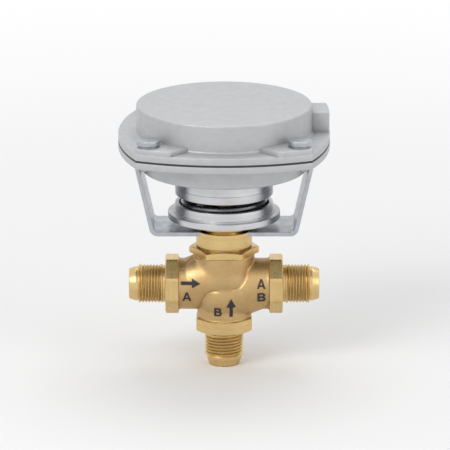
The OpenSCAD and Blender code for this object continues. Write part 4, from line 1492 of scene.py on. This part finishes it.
@dataclass
class Diaphragm:
    """The rolling diaphragm: a clamped rim and a middle that goes with the stem."""

    thick: float = 1.0 * MM
    bore: float = 4.05 * MM
    fold: float = 41.15 * MM
    fold_radius: float = 2.85 * MM
    fold_height: float = 126.0 * MM
    middle: float = 130.5 * MM
    rim: float = 132.8 * MM
    rim_gap: float = 0.1 * MM
    rim_edge: float = 0.15 * MM
    climb_from: float = 0.5 * MM
    bend: float = 0.7 * MM
    bend_middle: float = 0.2 * MM
    count: int = 144

    def fold_arc(self, start: float, end: float) -> Outline:
        """Half of the fold's section, between two angles in degrees."""
        turns = np.radians(np.linspace(start, end, 9))
        sides = ((self.fold_radius, turns), (self.fold_radius - self.thick, turns[::-1]))
        return [(self.fold + radius * math.cos(t), self.fold_height + radius * math.sin(t))
                for radius, side in sides for t in side]

    def build(self) -> None:
        """Builds and dresses the rim and the middle."""
        arc, top = self.fold_arc(0, -90), self.rim + self.thick
        outside = self.fold + self.fold_radius
        inside = outside - self.thick
        wall = [(inside, self.rim), (inside, top), (outside, top), (outside, self.rim)]
        plate = flange_plate(self.rim, top, inside + self.rim_gap, self.rim_edge)
        mesh = joined([plate, lofted(arc + wall, self.count)])
        rim = new_piece("diaphragm_rim", mesh, BLACK_RUBBER.material())
        settled(rim, "valve", BLACK_RUBBER, "diaphragm")

        arc = self.fold_arc(-90, -180)
        half = len(arc) // 2
        left, low, high = self.fold - self.fold_radius, self.middle, self.middle + self.thick
        right = left + self.thick
        climb = np.linspace(self.fold_height + self.climb_from, low - self.bend, 8)
        section = arc[:half] + [(left, z) for z in climb]
        section += [(left - self.bend_middle, low - self.bend_middle), (left - self.bend, low)]
        section += [(self.bore, low), (self.bore, high), (right - self.bend, high)]
        section += [(right - self.bend_middle, high - self.bend_middle)]
        section += [(right, z) for z in climb[::-1]] + arc[half:]
        mesh = lofted(section, self.count)
        piece = new_piece("diaphragm_middle", mesh, BLACK_RUBBER.material(), crease=50.0)
        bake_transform(piece)
        LOG.info("%s: bends between valve and stem", piece.name)


@dataclass
class Actuator:
    """The die-cast housing and cover with their screws."""

    count: int = 240
    edge: float = 0.4 * MM
    tuck: float = 0.1 * MM
    sink: float = 0.5 * MM
    housing_floor: float = 128.9 * MM
    housing_top: float = 132.8 * MM
    pan: float = 47.3 * MM
    pan_wall: float = 3.0 * MM
    pan_round: float = 2.2 * MM
    pan_hole: float = 28.5 * MM
    pan_taper: float = 0.6 * MM
    pad_drop: float = 10.8 * MM
    pad_inset: float = 1.0 * MM
    pad_root: float = 1.2 * MM
    pad_edge: float = 0.25 * MM
    strap: float = 2.4 * MM
    cover_floor: float = 133.8 * MM
    cover_flange: float = 137.8 * MM
    cap: float = 50.0 * MM
    cap_wall: float = 3.5 * MM
    cap_round: float = 1.1 * MM
    cap_corner: float = 1.0 * MM
    root_round: float = 1.3 * MM
    pad_top: float = 140.6 * MM
    block_top: float = 149.2 * MM
    hole_size: float = 9.0 * MM
    cap_near: float = 0.2 * MM
    cap_overlap: float = 1.6 * MM
    screw_at: float = 42.69 * MM
    shank: float = 3.0 * MM
    head: float = 6.55 * MM
    head_height: float = 3.0 * MM
    head_round: float = 0.45 * MM
    washer: float = 0.8 * MM
    air_axis: Vector = field(default_factory=lambda: Vector((59.55, 9.0, 143.5)) * MM)
    air_root: float = 4.45 * MM
    air_crest: float = 3.95 * MM
    air_drill: float = 2.0 * MM
    air_pitch: float = 0.94 * MM
    air_depth: float = 8.4 * MM
    air_mouth: float = 0.25 * MM
    air_start: float = 0.75 * MM
    air_end: float = 7.8 * MM
    air_back: float = 9.2 * MM
    round_steps: int = 64

    def pan_mesh(self) -> Mesh:
        """The round pan below the flange, open around the spring cup."""
        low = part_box("lower_housing")[0].z
        inside, floor = self.pan - self.pan_wall, low + self.pan_wall
        top = self.housing_top - self.tuck
        shell = rounded([
            (self.pan_hole, low), (self.pan, low), (self.pan, self.housing_floor + self.edge),
            (self.pan - self.pan_taper, top), (inside, top), (inside, floor), (self.pan_hole, floor),
        ], self.pan_round, 5)
        return lofted(shell, self.count)

    def leg_pads(self) -> Iterable[Mesh]:
        """The two leaning pads that the yoke's legs are screwed to."""
        half = max(v.co.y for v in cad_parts["yoke"].data.vertices) - self.pad_inset
        low, foot = self.housing_floor - self.pad_drop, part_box("yoke")[0].z
        root = self.pan - self.pad_root
        inner = [(math.sqrt(root ** 2 - y * y), y) for y in np.linspace(-half, half, 9)]
        ends = []
        for z in (low, self.housing_floor):
            out = LEG_HALF + (z - foot) * math.tan(LEG_LEAN) - self.strap / math.cos(LEG_LEAN)
            ends.append(inner + [(out, half), (out, -half)])
        pad = block(ends[0], low, self.housing_floor, self.pad_edge, ends[1])
        yield from copies(pad, [Matrix.Rotation(turn, 4, "Z") for turn in (0.0, math.pi)])

    def cap_mesh(self) -> Mesh:
        """The round cap of the cover, with a fillet at its root."""
        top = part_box("top_cover")[1].z
        inside, ceiling = self.cap - self.cap_wall, top - self.cap_wall
        floor = self.cover_floor + self.tuck
        corners = [(0.0, top), (self.cap, top), (self.cap, self.cover_flange)]
        outer = [spot for spot in rounded(corners, self.cap_round, 5)
                 if spot[1] > top - 2 * self.cap_round]
        fillet = [(self.cap + self.root_round * (1 - math.sin(t)),
                   self.cover_flange + self.root_round * (1 - math.cos(t)))
                  for t in np.linspace(math.pi / 2, 0, 6)]
        foot = [(self.cap + self.root_round, self.cover_flange - self.sink), (self.cap, floor)]
        inner = [(inside, floor), (inside, ceiling - self.cap_corner),
                 (inside - self.cap_corner, ceiling), (0.0, ceiling)]
        return lofted(outer + fillet + foot + inner, self.count)

    def on_flange(self, height: float) -> Iterable[Mesh]:
        """The raised blocks of the cover whose tops are at a height."""
        for outline in contours("top_cover", height):
            spots = [Vector(spot) for spot in outline]
            if max((spot - spots[0]).length for spot in spots) < self.hole_size:
                continue
            near = self.cap + self.cap_near
            tucked = [spot * (1 - self.cap_overlap / spot.length) if spot.length < near else spot
                      for spot in spots]
            tucked = [tuple(spot) for spot in tucked]
            yield block(simplified(tucked), self.cover_flange - self.sink, height, self.edge)

    def air_hole(self) -> tuple[Mesh, Mesh]:
        """The cutter of the air connection, and its threaded lining."""
        place = Matrix.Translation(self.air_axis) @ Matrix.Rotation(-math.pi / 2, 4, "Y")
        wide, before = self.air_root + self.tuck, -3.0 * MM
        cutter = [(0.0, before), (wide, before), (wide, self.air_depth), (0.0, self.air_depth)]
        outside, start, end = self.air_root + self.sink, self.air_start, self.air_end
        lining = [
            (outside, self.air_mouth), (self.air_root, self.air_mouth), (self.air_crest, start),
            Thread(self.air_crest, self.air_root, self.air_pitch, start, end),
            (self.air_crest, end), (self.air_drill, end), (self.air_drill, self.air_back),
            (outside, self.air_back),
        ]
        return lofted(cutter, self.round_steps, place), lofted(lining, self.round_steps, place)

    def screw(self) -> Mesh:
        """One flat round cover screw on the axis."""
        seat = self.pad_top + self.washer
        top = seat + self.head_height
        profile = rounded([
            (0.0, self.cover_floor), (self.shank, self.cover_floor), (self.shank, seat),
            (self.head, seat), (self.head, top), (0.0, top),
        ], self.head_round, 4)
        return lofted(profile, self.round_steps)

    def build(self) -> None:
        """Builds and dresses the housing, the cover and the screws."""
        cast, inside = DIE_CAST.material(), self.pan - self.pan_wall
        plate = flange_plate(self.housing_floor, self.housing_top, inside, self.edge)
        mesh = joined([plate, self.pan_mesh(), *self.leg_pads()])
        housing = new_piece("lower_housing_cast", mesh, cast, crease=34.0)
        settled(housing, "valve", DIE_CAST, "lower_housing")

        cutter, lining = self.air_hole()
        blocks = [bored(solid, cutter) for solid in self.on_flange(self.block_top)]
        inside = self.cap - self.cap_wall
        plate = flange_plate(self.cover_floor, self.cover_flange, inside, self.edge)
        mesh = joined([plate, self.cap_mesh(), *self.on_flange(self.pad_top), *blocks, lining])
        settled(new_piece("top_cover_cast", mesh, cast, crease=34.0), "valve", DIE_CAST, "top_cover")

        corners = [Matrix.Translation((x * self.screw_at, y * self.screw_at, 0))
                   for x in (-1, 1) for y in (-1, 1)]
        mesh = joined(copies(self.screw(), corners))
        screws = new_piece("cover_screw_heads", mesh, ZINC_PLATE.material(), crease=34.0)
        settled(screws, "valve", ZINC_PLATE, "cover_screws")


@dataclass(frozen=True)
class CarriedNodes:
    """The nodes whose shape stays, and the finish of each."""

    finishes: tuple = (
        (TURNED_BRASS, ("packing_washer", "packing_follower", "packing_nut", "plug")),
        (GROUND_STEEL, ("stem", "lower_seat_ring", "upper_seat_ring", "upper_disc_washer",
                        "lower_disc_washer", "plug_nut")),
        (WHITE_PACKING, ("bonnet_gasket", "packing_rings")),
        (BLACK_RUBBER, ("upper_disc", "lower_disc")),
        (ZINC_PLATE, ("spring_seat", "stem_lock_nut", "clamp_washer", "stem_top_nut",
                      "cover_washers")),
        (TURNED_ALUMINIUM, ("diaphragm_plate",)),
    )

    def build(self) -> None:
        """Dresses each node through its object's own material slots."""
        for finish, nodes in self.finishes:
            for node in nodes:
                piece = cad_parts[node]
                if not piece.material_slots:
                    piece.data.materials.append(None)
                for slot in piece.material_slots:
                    slot.link = "OBJECT"
                    slot.material = finish.material()
                LOG.info("%s: %s", node, finish.name)


@dataclass
class Studio:
    """The floor, the soft lamps, the world and the camera."""

    elevation: float = 16.0
    distance: float = 4.0
    frame_width: float = 257.05 * MM
    aim: Vector = field(default_factory=lambda: Vector((0.52, 0.0, 82.2)) * MM)
    sensor: float = 36.0
    floor_half: float = 3.0
    floor_colour: Colour = (0.93, 0.93, 0.93)
    floor_fade: tuple[float, float] = (0.15, 0.9)
    world_level: float = 0.58
    lamps: tuple = (
        ("key", (-0.75, -0.95, 1.0), 0.7, 7.5),
        ("fill", (1.0, -0.7, 0.55), 0.8, 2.5),
        ("top", (0.1, 0.5, 1.3), 0.9, 4.0),
    )

    @staticmethod
    def seen(graph: NodeGraph) -> Socket:
        """A link that is 1 for what the camera sees, also in metal and through glass."""
        path = graph.node("LightPath")
        mirrored = graph.math("MAXIMUM", path.outputs["Is Camera Ray"], path.outputs["Is Glossy Ray"])
        return graph.math("MAXIMUM", mirrored, path.outputs["Is Transmission Ray"])

    def floor(self) -> None:
        """Lays the plain pale floor, which fades to white away from the valve."""
        mesh = bpy.data.meshes.new("floor")
        half = self.floor_half
        corners = [(-half, -half, 0), (half, -half, 0), (half, half, 0), (-half, half, 0)]
        mesh.from_pydata(corners, [], [(0, 1, 2, 3)])
        floor = bpy.data.objects.new("floor", mesh)
        bpy.context.scene.collection.objects.link(floor)
        material = bpy.data.materials.new("floor_paper")
        material.use_nodes = True
        graph = NodeGraph(material.node_tree)
        paper = graph.node("BsdfPrincipled")
        paper.inputs["Base Color"].default_value = (*self.floor_colour, 1.0)
        paper.inputs["Roughness"].default_value = 0.9
        white = graph.node("Emission")
        away = graph.vector("LENGTH", graph.node("TexCoord").outputs["Object"], output=1)
        far = graph.math("MULTIPLY", graph.spread(away, *self.floor_fade), self.seen(graph))
        mixed = graph.node("MixShader")
        for value, socket in zip((far, paper.outputs[0], white.outputs[0]), mixed.inputs):
            graph.wire(value, socket)
        out = material.node_tree.nodes.new("ShaderNodeOutputMaterial")
        graph.wire(mixed.outputs[0], out.inputs["Surface"])
        mesh.materials.append(material)

    def world(self) -> None:
        """Lights the scene evenly, and shows the camera and the metal a white surrounding."""
        world = bpy.data.worlds.new("studio")
        world.use_nodes = True
        bpy.context.scene.world = world
        graph = NodeGraph(world.node_tree)
        level = graph.math("MULTIPLY_ADD", self.seen(graph), 1.0 - self.world_level, self.world_level)
        sky = graph.node("Background")
        graph.wire(level, sky.inputs["Strength"])
        sky.inputs["Color"].default_value = (1.0, 1.0, 1.0, 1.0)
        out = world.node_tree.nodes.new("ShaderNodeOutputWorld")
        graph.wire(sky.outputs[0], out.inputs["Surface"])

    def lamp(self, name: str, place: tuple[float, float, float], size: float, power: float) -> None:
        """Hangs a square lamp that faces the valve.

        Args:
            name: the lamp's name.
            place: where it hangs.
            size: its side.
            power: its power in watts.
        """
        light = bpy.data.lights.new(name, "AREA")
        light.shape, light.size, light.energy = "SQUARE", size, power
        lamp = bpy.data.objects.new(name, light)
        lamp.location = place
        lamp.rotation_euler = (self.aim - Vector(place)).to_track_quat("-Z", "Y").to_euler()
        bpy.context.scene.collection.objects.link(lamp)

    def camera(self) -> None:
        """Sets the camera at the photograph's angle."""
        lens = bpy.data.cameras.new("camera")
        lens.sensor_fit, lens.sensor_width = "HORIZONTAL", self.sensor
        lens.lens = self.sensor * self.distance / self.frame_width
        lens.clip_end = 20.0
        camera = bpy.data.objects.new("camera", lens)
        tilt = math.radians(self.elevation)
        camera.location = self.aim + Vector((0, -math.cos(tilt), math.sin(tilt))) * self.distance
        camera.rotation_euler = (math.pi / 2 - tilt, 0, 0)
        bpy.context.scene.collection.objects.link(camera)
        bpy.context.scene.camera = camera

    def build(self) -> None:
        """Sets the whole studio."""
        bpy.context.scene.view_settings.view_transform = "Standard"
        self.floor()
        self.world()
        for lamp in self.lamps:
            self.lamp(*lamp)
        self.camera()


def main() -> None:
    """Builds the studio and the valve's sub-assemblies in order, and reports each piece."""
    logging.basicConfig(level=logging.INFO, format="%(name)s: %(message)s")
    Studio().build()
    casting = BodyCasting().build()
    FlarePorts().build()
    FlowMarks().build(casting)
    Bonnet().build()
    Yoke().build()
    SpringSet().build()
    Diaphragm().build()
    Actuator().build()
    CarriedNodes().build()


if __name__ == "__main__":
    main()
